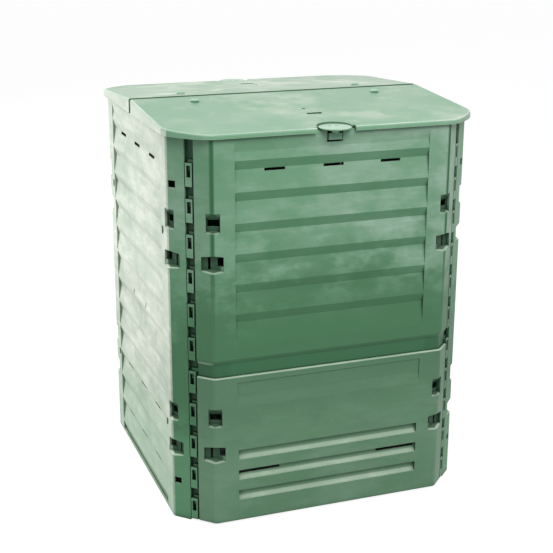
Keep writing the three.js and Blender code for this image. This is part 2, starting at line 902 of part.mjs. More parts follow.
// A ring that follows the walls below, to seat the lid on them.
function seatRing(depth) {
  const octagon = (inset) => {
    const half = face - inset;
    const straight = flat - inset * mitre;
    const edge = crossbar.width / 2 + lid.rimSheet;
    return [
      [-half, -edge],
      [-half, -straight],
      [-straight, -half],
      [straight, -half],
      [half, -straight],
      [half, -edge],
    ];
  };
  const outer = (wall.sheet - lid.seatRib) / 2;
  const ring = upright(octagon(outer), [-depth, -lid.sheet / 2]);
  const edge = crossbar.width / 2;
  const inner = upright(
    octagon(outer + lid.seatRib).map(([x, y], i, all) => [x, i % (all.length - 1) === 0 ? -edge : y]),
    [-depth - overrun, lid.sheet],
  );
  return ring.subtract(inner);
}

function buildLid() {
  const depth = ridgeTop - rimFoot + lid.fall + overrun;
  const hollow = lidPrism(lidOutline(lid.rimSheet, -overrun), [-depth - overrun, -lid.sheet]);
  const ribZs = [-lid.sheet - lid.ribDepth, -lid.sheet / 2];
  const halfInner = lidHalfSpan - lid.rimSheet * 3;
  const reach = lidRibPlaces.at(-1);
  const crossRibs = lidRibPlaces.map((place) =>
    box(
      [-lidFlat, lidFlat],
      [-place - lid.ribSheet / 2, -place + lid.ribSheet / 2],
      ribZs,
    ),
  );
  const spines = lidSpineOffsets.map((x) =>
    box([x - lid.ribSheet / 2, x + lid.ribSheet / 2], [-reach, -lidRibPlaces[0]], ribZs),
  );
  const ridgeLip = box(
    [-halfInner, halfInner],
    [-lid.seam / 2 - lid.ribSheet, -lid.seam / 2],
    [-lid.sheet - lid.ridgeLip, -lid.sheet / 2],
  );
  const lipGapHalf = hinge.knuckleLength / 2 + hinge.earSheet + hinge.pinHead + overrun;
  const lipGaps = [-1, 1].map((side) =>
    box(
      [side * hinge.station - lipGapHalf, side * hinge.station + lipGapHalf],
      [-lid.seam / 2 - lid.ribSheet - overrun, overrun],
      [-lid.sheet - lid.ridgeLip - overrun, -lid.sheet],
    ),
  );
  const shell = lidEnvelope(depth).subtract(hollow);
  const level = joined([shell, cutBy(ridgeLip, lipGaps), ...crossRibs, ...spines]);
  const pressZs = [-lid.pressDepth, overrun];
  const slot = box(
    [-lid.slotLength / 2, lid.slotLength / 2],
    [-lid.slotPlace - lid.slotWidth / 2, -lid.slotPlace + lid.slotWidth / 2],
    [-lid.sheet - overrun, overrun],
  );
  const dimplePlace = [-lid.dimpleOffset, -lid.dimplePlace];
  const dimple = rod(lid.dimpleRadius, pressZs, dimplePlace, smallCircleSteps);
  const pegHole = hinge.pegShank + clearance;
  const pegHoles = [-1, 1].map((side) =>
    rod(pegHole, [-depth, overrun], [side * hinge.station, -hinge.pegPlace], smallCircleSteps),
  );
  const flatLid = cutBy(level, [slot, dimple, ...pegHoles]);
  const fallen = movedSolid(flatLid, lidFall);

  // The seat ring keeps a level foot just above the walls.
  const ringTop = movedSolid(seatRing(depth), lidFall);
  const seatFoot = wall.height + clearance;
  const far = lidHalfSpan * 2;
  const belowSeat = box([-far, far], [-far, far], [seatFoot - far, seatFoot]);
  const recessRadius = latch.knobRadius + latch.recessGap;
  const floorRadius = recessRadius + latch.floorMargin;
  const centre = [0, -latchPlace];
  const aroundLatch = rod(floorRadius, [seatFoot - far, seatFoot + far], centre);
  const ring = ringTop.subtract(belowSeat).subtract(aroundLatch);

  // The latch sits in a round recess, and the front rim is open where its knob stands out.
  const floorShape = movedSolid(lidEnvelope(depth), lidFall);
  const floor = rod(floorRadius, [floorFoot, floorTop + overrun * 2], centre).intersect(floorShape);
  const recess = rod(recessRadius, [floorTop, ridgeTop], centre);
  const holeZs = [floorFoot - overrun, floorTop + overrun];
  const spindleHole = rod(latch.spindleRadius + clearance, holeZs, centre);
  const rimGap = box(
    [-latch.rimGapHalf, latch.rimGapHalf],
    [-far, -lidHalfSpan + latch.rimGapDepth],
    [rimFoot - far, rimFoot + far],
  );
  const belowRim = box([-far, far], [-far, far], [rimFoot - far, rimFoot]);
  return cutBy(joined([fallen, ring, floor]), [recess, spindleHole, rimGap, belowRim]);
}

// Latch: a knob that lies in the lid recess and a key on its shank, turned under the strike of the wall

function buildKnob() {
  const foot = floorTop + clearance;
  const top = foot + latch.knobThickness;
  const centre = [0, -latchPlace];
  const bevel = latch.knobBevel;
  const disc = turned(
    [
      [0, foot],
      [latch.knobRadius - bevel, foot],
      [latch.knobRadius, foot + bevel],
      [latch.knobRadius, top - bevel],
      [latch.knobRadius - bevel, top],
      [0, top],
    ],
    centre,
  );
  const spindle = rod(latch.spindleRadius, [keyTop + clearance, foot + overrun], centre);
  const half = latch.shankSide / 2;
  const shank = box(
    [-half, half],
    [-latchPlace - half, -latchPlace + half],
    [keyFoot + latch.keyRound, foot],
  );
  const dimples = [-1, 1].map((side) =>
    rod(
      latch.dimpleRadius,
      [top - latch.dimpleDepth, top + overrun],
      [(side * latch.dimpleSpacing) / 2, -latchPlace + latch.dimpleSpacing / 2],
      smallCircleSteps,
    ),
  );
  return cutBy(joined([disc, spindle, shank]), dimples);
}

function buildKey() {
  const [halfX, halfY] = [latch.keyLength / 2, latch.keyThickness / 2];
  const round = latch.keyRound;
  const outline = [
    [-halfX, -halfY + round],
    [-halfX + round, -halfY],
    [halfX - round, -halfY],
    [halfX, -halfY + round],
    [halfX, halfY - round],
    [halfX - round, halfY],
    [-halfX + round, halfY],
    [-halfX, halfY - round],
  ].map(([x, y]) => [x, y - latchPlace]);
  const body = upright(outline, [keyFoot, keyTop]);
  const half = latch.shankSide / 2 + clearance;
  const socket = box(
    [-half, half],
    [-latchPlace - half, -latchPlace + half],
    [keyFoot - overrun, keyTop + overrun],
  );
  return body.subtract(socket);
}

// Hinges under the ridge

// The strap is the leaf under the lid, with its eye round the pin. It lies at the fall of the lid.
function buildStrap(x) {
  const half = hinge.knuckleLength / 2;
  const topAt = (distance) => lidTopAt(distance) - lid.sheet - clearance;
  const near = hinge.axisOffset;
  const leaf = alongX(
    [
      [-near, topAt(near) - hinge.strapSheet],
      [-near, topAt(near)],
      [-hinge.strapEnd, topAt(hinge.strapEnd)],
      [-hinge.strapEnd, topAt(hinge.strapEnd) - hinge.strapSheet],
    ],
    [x - half, x + half],
  );
  const centre = [-hinge.axisOffset, hingeHeight];
  const eye = rodAlongX(hinge.knuckleRadius, [x - half, x + half], centre);
  const bore = rodAlongX(hinge.pinRadius + clearance, [x - half - overrun, x + half + overrun], centre);
  const pegHole = rod(
    hinge.pegShank + clearance,
    [hingeHeight - hinge.strapEnd, ridgeTop],
    [x, -hinge.pegPlace],
    smallCircleSteps,
  );
  return cutBy(leaf.add(eye), [bore, pegHole]);
}

function buildPin(x) {
  const half = hinge.knuckleLength / 2 + clearance + hinge.earSheet;
  const centre = [-hinge.axisOffset, hingeHeight];
  const outer = x + half + clearance;
  const shaft = rodAlongX(hinge.pinRadius, [x - half - hinge.pinHead, outer + hinge.pinHead], centre);
  const head = rodAlongX(hinge.pinHeadRadius, [outer, outer + hinge.pinHead], centre);
  return shaft.add(head);
}

// The shoulder of a peg's domed head: shares of its radius and height.
const crownShare = 0.7;
const crownHeightShare = 0.9;

// A push-in peg that fastens the lid to its strap. Its tail spreads under the strap.
function buildPeg(x) {
  const seat = lidTopAt(hinge.pegPlace - hinge.pegHeadRadius) + clearance;
  const strapFoot = lidTopAt(hinge.strapEnd) - lid.sheet - clearance * 2 - hinge.strapSheet;
  const rise = hinge.pegHeadHeight;
  const radius = hinge.pegHeadRadius;
  return turned(
    [
      [0, strapFoot - hinge.pegTail],
      [hinge.pegShank / 2, strapFoot - hinge.pegTail],
      [hinge.pegShank + hinge.pegBarb, strapFoot - hinge.pegBarb],
      [hinge.pegShank, strapFoot - clearance],
      [hinge.pegShank, seat],
      [radius, seat],
      [radius, seat + rise / 2],
      [radius * crownShare, seat + rise * crownHeightShare],
      [0, seat + rise],
    ],
    [x, -hinge.pegPlace],
    smallCircleSteps,
  );
}

// Crossbar: a channel between the side walls that carries the hinge ears and catches rain from the seam

function buildCrossbar() {
  const half = crossbar.width / 2;
  const foot = notchFoot + clearance;
  const sheet = crossbar.sheet;
  const reach = face - clearance;
  const channel = alongX(
    [
      [-half, foot],
      [half, foot],
      [half, barTop],
      [half - sheet, barTop],
      [half - sheet, foot + sheet],
      [-half + sheet, foot + sheet],
      [-half + sheet, barTop],
      [-half, barTop],
    ],
    [-reach, reach],
  );
  const parts = [channel];
  const innerPlate = face - wall.sheet - board.recess - clearance - sheet;
  for (const side of [-1, 1]) {
    const place = (from) => [side * from, side * (from + sheet)].sort((a, b) => a - b);
    parts.push(box(place(innerPlate), [-half, half], [foot - crossbar.hookDrop, foot + sheet]));
  }
  const radius = hinge.knuckleRadius;
  const stemSide = hinge.axisOffset - radius;
  for (const sideY of [-1, 1]) {
    for (const sideX of [-1, 1]) {
      for (const end of [-1, 1]) {
        const inner = end * (hinge.knuckleLength / 2 + clearance);
        const outer = end * (hinge.knuckleLength / 2 + clearance + hinge.earSheet);
        const xs = [inner, outer].map((x) => x + sideX * hinge.station).sort((a, b) => a - b);
        const ys = [stemSide, half].map((y) => y * sideY).sort((a, b) => a - b);
        const stemYs = [stemSide, hinge.axisOffset + radius].map((y) => y * sideY).sort((a, b) => a - b);
        const centre = [sideY * hinge.axisOffset, hingeHeight];
        const gusset = box(xs, ys, [foot, barTop]);
        const stem = box(xs, stemYs, [foot, hingeHeight]);
        const crown = rodAlongX(radius, xs, centre);
        const hole = rodAlongX(hinge.pinRadius + clearance, [xs[0] - overrun, xs[1] + overrun], centre);
        parts.push(joined([gusset, stem, crown]).subtract(hole));
      }
    }
  }
  const drains = [];
  const drainCount = 2 * Math.floor((face - crossbar.drainPitch / 2) / crossbar.drainPitch) + 1;
  for (let i = 0; i < drainCount; i++) {
    const x = (i - (drainCount - 1) / 2) * crossbar.drainPitch;
    const drainZs = [foot - overrun, foot + sheet + overrun];
    drains.push(rod(crossbar.drainRadius, drainZs, [x, 0], smallCircleSteps));
  }
  return cutBy(joined(parts), drains);
}

// Scene graph

const plastic = (color, roughness) => new THREE.MeshStandardMaterial({ color, roughness, metalness: 0 });

function meshOf(name, solid, material) {
  const geometry = geometryOf(solid).toNonIndexed();
  geometry.computeVertexNormals();
  const mesh = new THREE.Mesh(geometry, material);
  mesh.name = name;
  return mesh;
}

const bin = new THREE.Group();
const sideWall = buildSideWall();
const upper = buildUpperWall();
const flapSolid = buildFlap();
const lidHalf = buildLid();
const knob = buildKnob();
const key = buildKey();

for (const [name, turn] of [
  ["right_wall", Math.PI / 2],
  ["left_wall", -Math.PI / 2],
]) {
  const mesh = meshOf(name, sideWall, plastic("#8fb99c", 0.5));
  mesh.rotation.z = turn;
  bin.add(mesh);
}

bin.add(meshOf("lid_crossbar", buildCrossbar(), plastic("#54705c", 0.55)));

for (const [side, turn] of [
  ["front", 0],
  ["rear", Math.PI],
]) {
  const group = new THREE.Group();
  group.rotation.z = turn;
  group.add(meshOf(side + "_wall_upper", upper, plastic("#6f9a7a", 0.5)));
  group.add(meshOf(side + "_flap", flapSolid, plastic("#72977a", 0.5)));
  group.add(meshOf("lid_" + side, lidHalf, plastic("#a6c8b0", 0.45)));
  group.add(meshOf("latch_knob_" + side, knob, plastic("#a9cdb6", 0.4)));
  group.add(meshOf("latch_key_" + side, key, plastic("#7aa387", 0.45)));
  for (const [end, place] of [
    ["left", -1],
    ["right", 1],
  ]) {
    const x = place * hinge.station * Math.cos(turn);
    const label = "_" + side + "_" + end;
    group.add(meshOf("hinge_strap" + label, buildStrap(x), plastic("#66876f", 0.5)));
    group.add(meshOf("hinge_pin" + label, buildPin(x), plastic("#5d7a66", 0.45)));
    group.add(meshOf("lid_peg" + label, buildPeg(x), plastic("#6f9a80", 0.4)));
  }
  bin.add(group);
}

export default bin;
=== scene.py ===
"""Compost bin with lid: finishes, turned fittings, mould marks, studio and camera.

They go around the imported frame. Everything is in metres in the frame of the CAD part: the ground
is at z = 0 and the front faces -Y.
"""

import logging
import math
from dataclasses import dataclass, field, replace
from enum import Enum
from typing import Iterable, Optional, Union

import bmesh
import bpy
from mathutils import Matrix, Vector


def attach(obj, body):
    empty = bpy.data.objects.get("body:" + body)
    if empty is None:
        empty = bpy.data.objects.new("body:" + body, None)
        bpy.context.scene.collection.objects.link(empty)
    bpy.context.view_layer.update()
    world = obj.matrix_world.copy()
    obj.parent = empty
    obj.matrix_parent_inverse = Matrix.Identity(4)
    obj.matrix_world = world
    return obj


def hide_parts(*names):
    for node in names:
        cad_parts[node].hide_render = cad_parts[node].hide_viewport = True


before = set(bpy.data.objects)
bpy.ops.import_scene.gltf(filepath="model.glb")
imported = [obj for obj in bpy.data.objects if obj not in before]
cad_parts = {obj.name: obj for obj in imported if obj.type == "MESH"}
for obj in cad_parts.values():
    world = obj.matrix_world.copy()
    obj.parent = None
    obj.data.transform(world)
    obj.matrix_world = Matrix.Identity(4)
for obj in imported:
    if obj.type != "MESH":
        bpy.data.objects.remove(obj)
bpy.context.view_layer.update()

LOG = logging.getLogger("compost_bin")
UP = (0.0, 0.0, 1.0)
FORTH = (0.0, 1.0, 0.0)
SUNNY_SIDE = (-1.0, 0.0, 0.0)
WHITE = (1.0, 1.0, 1.0, 1.0)
WELD = 1e-6
SHARP_ANGLE = 0.6
EDGE_SAMPLES = 4
NOOK_SAMPLES = 6
Colour = tuple[float, float, float]
Place = tuple[float, float, float]
Range = tuple[float, float]
Point = tuple[float, float]
Profile = tuple[Point, ...]
Number = Union[int, float, "Signal"]


def linear(colour: Colour) -> tuple[float, float, float, float]:
    """Turn a colour as seen on a screen into the linear one that a shader takes.

    Args:
        colour: red, green and blue from 0 to 1, as seen.

    Returns:
        Linear red, green and blue, and an alpha of 1.
    """
    parts = [c / 12.92 if c <= 0.04045 else ((c + 0.055) / 1.055) ** 2.4 for c in colour]
    return (parts[0], parts[1], parts[2], 1.0)


class Signal:
    """A value inside a shader, so that shader maths reads as Python expressions."""

    def __init__(self, shader: "Shader", socket: bpy.types.NodeSocket) -> None:
        """Hold one output socket of a material."""
        self.shader = shader
        self.socket = socket

    def __add__(self, other: Number) -> "Signal":
        """Add."""
        return self.shader.maths("ADD", self, other)

    def __radd__(self, other: Number) -> "Signal":
        """Add, from the right."""
        return self.shader.maths("ADD", other, self)

    def __sub__(self, other: Number) -> "Signal":
        """Subtract."""
        return self.shader.maths("SUBTRACT", self, other)

    def __rsub__(self, other: Number) -> "Signal":
        """Subtract, from the right."""
        return self.shader.maths("SUBTRACT", other, self)

    def __mul__(self, other: Number) -> "Signal":
        """Multiply."""
        return self.shader.maths("MULTIPLY", self, other)

    def __rmul__(self, other: Number) -> "Signal":
        """Multiply, from the right."""
        return self.shader.maths("MULTIPLY", other, self)

    def __abs__(self) -> "Signal":
        """Take the size without the sign."""
        return self.shader.maths("ABSOLUTE", self, 0.0)

    def most(self, other: Number) -> "Signal":
        """Take the larger of the two."""
        return self.shader.maths("MAXIMUM", self, other)

    def least(self, other: Number) -> "Signal":
        """Take the smaller of the two."""
        return self.shader.maths("MINIMUM", self, other)

    def above(self, level: float) -> "Signal":
        """Give 1 above a level and 0 below it."""
        return self.shader.maths("GREATER_THAN", self, level)

    def ramp(self, low: float, high: float) -> "Signal":
        """Map low to 0 and high to 1, smoothly and with both ends held.

        Args:
            low: the value that becomes 0.
            high: the value that becomes 1.

        Returns:
            The mapped value.
        """
        node = self.shader.node(
            "ShaderNodeMapRange",
            {"interpolation_type": "SMOOTHSTEP"},
            {"Value": self, "From Min": low, "From Max": high},
        )
        return self.shader.signal(node, "Result")

    def fall(self, low: float, high: float) -> "Signal":
        """Map low to 1 and high to 0, as ramp does the other way round."""
        return 1.0 - self.ramp(low, high)


class Shader:
    """One material and the nodes that feed its surface."""

    def __init__(self, name: str) -> None:
        """Make a material with a plain surface.

        Args:
            name: the material's name.
        """
        self.material = bpy.data.materials.new(name)
        self.material.use_nodes = True
        self.tree = self.material.node_tree
        self.surface = self.tree.nodes["Principled BSDF"]

    def node(
        self,
        kind: str,
        settings: Optional[dict[str, object]] = None,
        inputs: Optional[dict[object, object]] = None,
    ) -> bpy.types.Node:
        """Add a node, with its settings first and then its inputs.

        Args:
            kind: the node's type.
            settings: its properties.
            inputs: a value or a signal for each named or numbered input.

        Returns:
            The new node.
        """
        made = self.tree.nodes.new(kind)
        for key, value in (settings or {}).items():
            setattr(made, key, value)
        for key, value in (inputs or {}).items():
            self.feed(made.inputs[key], value)
        return made

    def feed(self, socket: bpy.types.NodeSocket, value: object) -> None:
        """Link a signal to an input, or set the input to a constant.

        Args:
            socket: the input.
            value: the signal or the constant.
        """
        if isinstance(value, Signal):
            self.tree.links.new(value.socket, socket)
        else:
            socket.default_value = value

    def signal(self, node: bpy.types.Node, output: object = 0) -> Signal:
        """Wrap an output of a node."""
        return Signal(self, node.outputs[output])

    def maths(self, operation: str, first: Number, second: Number) -> Signal:
        """Join two numbers by a Math node."""
        node = self.node("ShaderNodeMath", {"operation": operation}, {0: first, 1: second})
        return self.signal(node)

    def place(self) -> Signal:
        """Give the place on the piece, in metres in the frame of the part."""
        return self.signal(self.node("ShaderNodeTexCoord"), "Object")

    def parts(self, place: Signal) -> tuple[Signal, Signal, Signal]:
        """Split a place into its three lengths."""
        node = self.node("ShaderNodeSeparateXYZ", {}, {"Vector": place})
        return self.signal(node, "X"), self.signal(node, "Y"), self.signal(node, "Z")

    def stretched(self, place: Signal, scale: Place) -> Signal:
        """Scale a place along each axis."""
        node = self.node("ShaderNodeMapping", {}, {"Vector": place, "Scale": scale})
        return self.signal(node, "Vector")

    def noise(self, place: Signal, scale: float, detail: float, rough: float) -> Signal:
        """Give noise around 0.5, by blotches to the metre, finer layers and how strong they are."""
        inputs = {"Vector": place, "Scale": scale, "Detail": detail, "Roughness": rough}
        return self.signal(self.node("ShaderNodeTexNoise", {}, inputs), "Fac")

    def flat_normal(self) -> Signal:
        """Give the normal of the flat face."""
        return self.signal(self.node("ShaderNodeNewGeometry"), "True Normal")

    def own_normal(self) -> Signal:
        """Give the normal in the frame of the piece, which turns with it."""
        return self.signal(self.node("ShaderNodeTexCoord"), "Normal")

    def rounded(self, radius: float) -> Signal:
        """Give the normal as if sharp edges were rounded off."""
        return self.signal(
            self.node("ShaderNodeBevel", {"samples": EDGE_SAMPLES}, {"Radius": radius})
        )

    def along(self, first: Signal, second: object) -> Signal:
        """Give how far two directions agree, from -1 to 1."""
        settings = {"operation": "DOT_PRODUCT"}
        return self.signal(
            self.node("ShaderNodeVectorMath", settings, {0: first, 1: second}), "Value"
        )

    def openness(self, reach: float) -> Signal:
        """Give 1 on open faces and less in corners, up to a reach away."""
        node = self.node(
            "ShaderNodeAmbientOcclusion", {"samples": NOOK_SAMPLES}, {"Distance": reach}
        )
        return self.signal(node, "AO")

    def mix(self, share: Number, first: object, second: object) -> Signal:
        """Mix two colours."""
        node = self.node("ShaderNodeMix", {"data_type": "RGBA"}, {0: share, 6: first, 7: second})
        return self.signal(node, 2)

    def set(self, **sockets: object) -> None:
        """Feed sockets of the surface, named with _ for a space."""
        for key, value in sockets.items():
            self.feed(self.surface.inputs[key.replace("_", " ")], value)


@dataclass(frozen=True)
class BinPlan:
    """The bin's own places that the finishes look for: from its middle, and up from the ground.

    A range is where a place fades in or out.

    Attributes:
        face: the outer faces of the walls.
        chamfer_sum: what x and y add up to on the chamfer of a corner.
        fold: the folds of the front and rear walls, across.
        fold_width: half the width of a fold's line of painted shade.
        fold_rise: the heights between which that line comes in.
        outer_skin: the depth from which a place is on the front or rear face.
        corner: where the corner of a front or rear wall starts, across.
        lip_foot: the top of the band below the lip of an upper wall.
        pocket_depth: how deep in the skin a pocket starts.
        pocket_from: how near the corner the pockets are.
        vent_reach: the end of a side wall's vents and grip slots, along.
        vent_foot: the height below the lowest of them.
        vent_head: the height above the highest of them.
        boards_end: the end of a side wall's boards, along.
        boards_head: the height above the highest board.
        sunny_skin: the depth of the skin on the sunny side.
        seam_wall: half the seam between the lid halves, with its walls.
        seam_lip: half the seam, with the lip of painted shadow on top of it.
        seam_edge: half the seam, where the lid's pale edge of wear and painted highlight starts.
        lid_inside: the part of the lid that is inside its rim.
        lid_skirt: the outer skirt of the lid, across.
    """

    face: float = 0.390
    chamfer_sum: float = 0.694
    fold: float = 0.3045
    fold_width: Range = (0.0016, 0.0072)
    fold_rise: Range = (0.44, 0.74)
    outer_skin: Range = (0.374, 0.382)
    corner: Range = (0.300, 0.312)
    lip_foot: Range = (0.426, 0.438)
    pocket_depth: Range = (0.004, 0.008)
    pocket_from: Range = (0.255, 0.270)
    vent_reach: Range = (0.18, 0.20)
    vent_foot: Range = (0.05, 0.06)
    vent_head: Range = (0.95, 0.96)
    boards_end: Range = (0.301, 0.304)
    boards_head: Range = (0.974, 0.980)
    sunny_skin: Range = (-0.370, -0.340)
    seam_wall: Range = (0.0125, 0.0140)
    seam_lip: Range = (0.0112, 0.0132)
    seam_edge: Range = (0.0105, 0.0135)
    lid_inside: Range = (0.330, 0.338)
    lid_skirt: Range = (0.3985, 0.3995)


@dataclass(frozen=True)
class Slopes:
    """How far a face agrees with a direction before it counts as lying that way."""

    under: Range = (0.06, 0.34)
    square_on: Range = (0.85, 0.95)
    sunny: Range = (0.80, 0.97)
    upright: Range = (0.35, 0.65)
    seam_lip: Range = (0.90, 0.97)
    rim_start: Range = (0.30, 0.60)
    rim_end: Range = (0.955, 0.985)
    edge_bend: Range = (0.90, 0.995)


PLAN = BinPlan()
SLOPES = Slopes()


@dataclass(frozen=True)
class Blotches:
    """One kind of cloudy pattern, with its blotches to the metre and the span it is read over."""

    scale: float
    detail: float
    rough: float
    span: Range
    stretch: Optional[Place] = None

    def read(self, shader: Shader, place: Signal) -> Signal:
        """Give the pattern at a place, from 0 to 1."""
        where = shader.stretched(place, self.stretch) if self.stretch else place
        return shader.noise(where, self.scale, self.detail, self.rough).ramp(*self.span)


@dataclass(frozen=True)
class Mottle:
    """How much the clouds, wisps and patches of a face add to a plain share."""

    plain: float
    cloud: float = 0.0
    wisp: float = 0.0
    patch: float = 0.0

    def of(self, face: "Face") -> Number:
        """Give the mottled share.

        Args:
            face: what is read off the surface.

        Returns:
            The share.
        """
        share: Number = self.plain
        patterns = (face.cloud, face.wisp, face.patch)
        for pattern, weight in zip(patterns, (self.cloud, self.wisp, self.patch)):
            if weight:
                share = share + pattern * weight
        return share


class Face:
    """What a finish reads off the surface: where it is, how it lies and what clouds it."""

    CLOUD = Blotches(4.5, 5.0, 0.62, (0.36, 0.68))
    PATCH = Blotches(9.0, 4.0, 0.6, (0.42, 0.66), (1.0, 1.0, 1.7))
    WISP = Blotches(15.0, 6.0, 0.68, (0.42, 0.72), (0.45, 0.45, 1.8))
    FLECK = Blotches(240.0, 3.0, 0.6, (0.62, 0.78))

    def __init__(self, shader: Shader, finish: "WeatheredPlastic") -> None:
        """Read the surface.

        Args:
            shader: the material that reads it.
            finish: the finish, which says how its edges, sills and nooks are told.
        """
        self.shader = shader
        self.place = shader.place()
        self.x, self.y, self.height = shader.parts(self.place)
        self.normal = shader.own_normal()
        self.rise = shader.along(self.normal, UP)
        self.up = self.rise.ramp(*finish.sill_slope)
        self.under = (0.0 - self.rise).ramp(*SLOPES.under)
        self.cloud = self.CLOUD.read(shader, self.place)
        self.patch = self.PATCH.read(shader, self.place)
        self.wisp = self.WISP.read(shader, self.place)
        self.fleck = self.FLECK.read(shader, self.place)
        self.soft = shader.rounded(finish.edge_radius)
        self.edge = shader.along(self.soft, shader.flat_normal()).fall(*SLOPES.edge_bend)
        self.nook = shader.openness(finish.nook_reach).fall(*finish.nook_span)
        self.pocket = self.in_pocket()
        self.mouth = self.in_mouth()

    def in_pocket(self) -> Signal:
        """Give how far a place is inside one of the corner's pockets.

        Returns:
            The share, from 0 to 1.
        """
        wide = abs(self.x).most(abs(self.y))
        narrow = abs(self.x).least(abs(self.y))
        below_chamfer = (PLAN.chamfer_sum - wide - narrow) * math.sqrt(0.5)
        depth = (PLAN.face - wide).least(below_chamfer)
        return depth.ramp(*PLAN.pocket_depth) * narrow.ramp(*PLAN.pocket_from)

    def in_mouth(self) -> Signal:
        """Give how far a place is on the sill or an end of a side wall's vent or grip slot.

        Returns:
            The share, from 0 to 1.
        """
        sill = self.rise.ramp(*SLOPES.square_on)
        end = abs(self.shader.along(self.normal, FORTH)).ramp(*SLOPES.square_on)
        among_rows = self.height.ramp(*PLAN.vent_foot) * self.height.fall(*PLAN.vent_head)
        return sill.most(end) * among_rows * abs(self.y).fall(*PLAN.vent_reach)

    def on_fold(self) -> Signal:
        """Give how far a place is on a fold of the front or rear face.

        Returns:
            The share, from 0 to 1.
        """
        line = abs(abs(self.x) - PLAN.fold).fall(*PLAN.fold_width)
        front = abs(self.y).ramp(*PLAN.outer_skin) * self.height.ramp(*PLAN.fold_rise)
        return line * front

    def on_cut(self, lip_share: float) -> Signal:
        """Give how far a place is on an inner upright face of the lid or on the lip of its seam.

        Args:
            lip_share: how much of it the lip gets.

        Returns:
            The share, from 0 to 1.
        """
        upright = abs(self.rise).fall(*SLOPES.upright)
        inside = abs(self.x).most(abs(self.y)).fall(*PLAN.lid_inside)
        walls = upright * abs(self.y).fall(*PLAN.seam_wall).most(inside)
        walls = walls * abs(self.x).fall(*PLAN.lid_skirt)
        lip = abs(self.y).fall(*PLAN.seam_lip) * self.rise.ramp(*SLOPES.seam_lip)
        return walls.most(lip * lip_share)


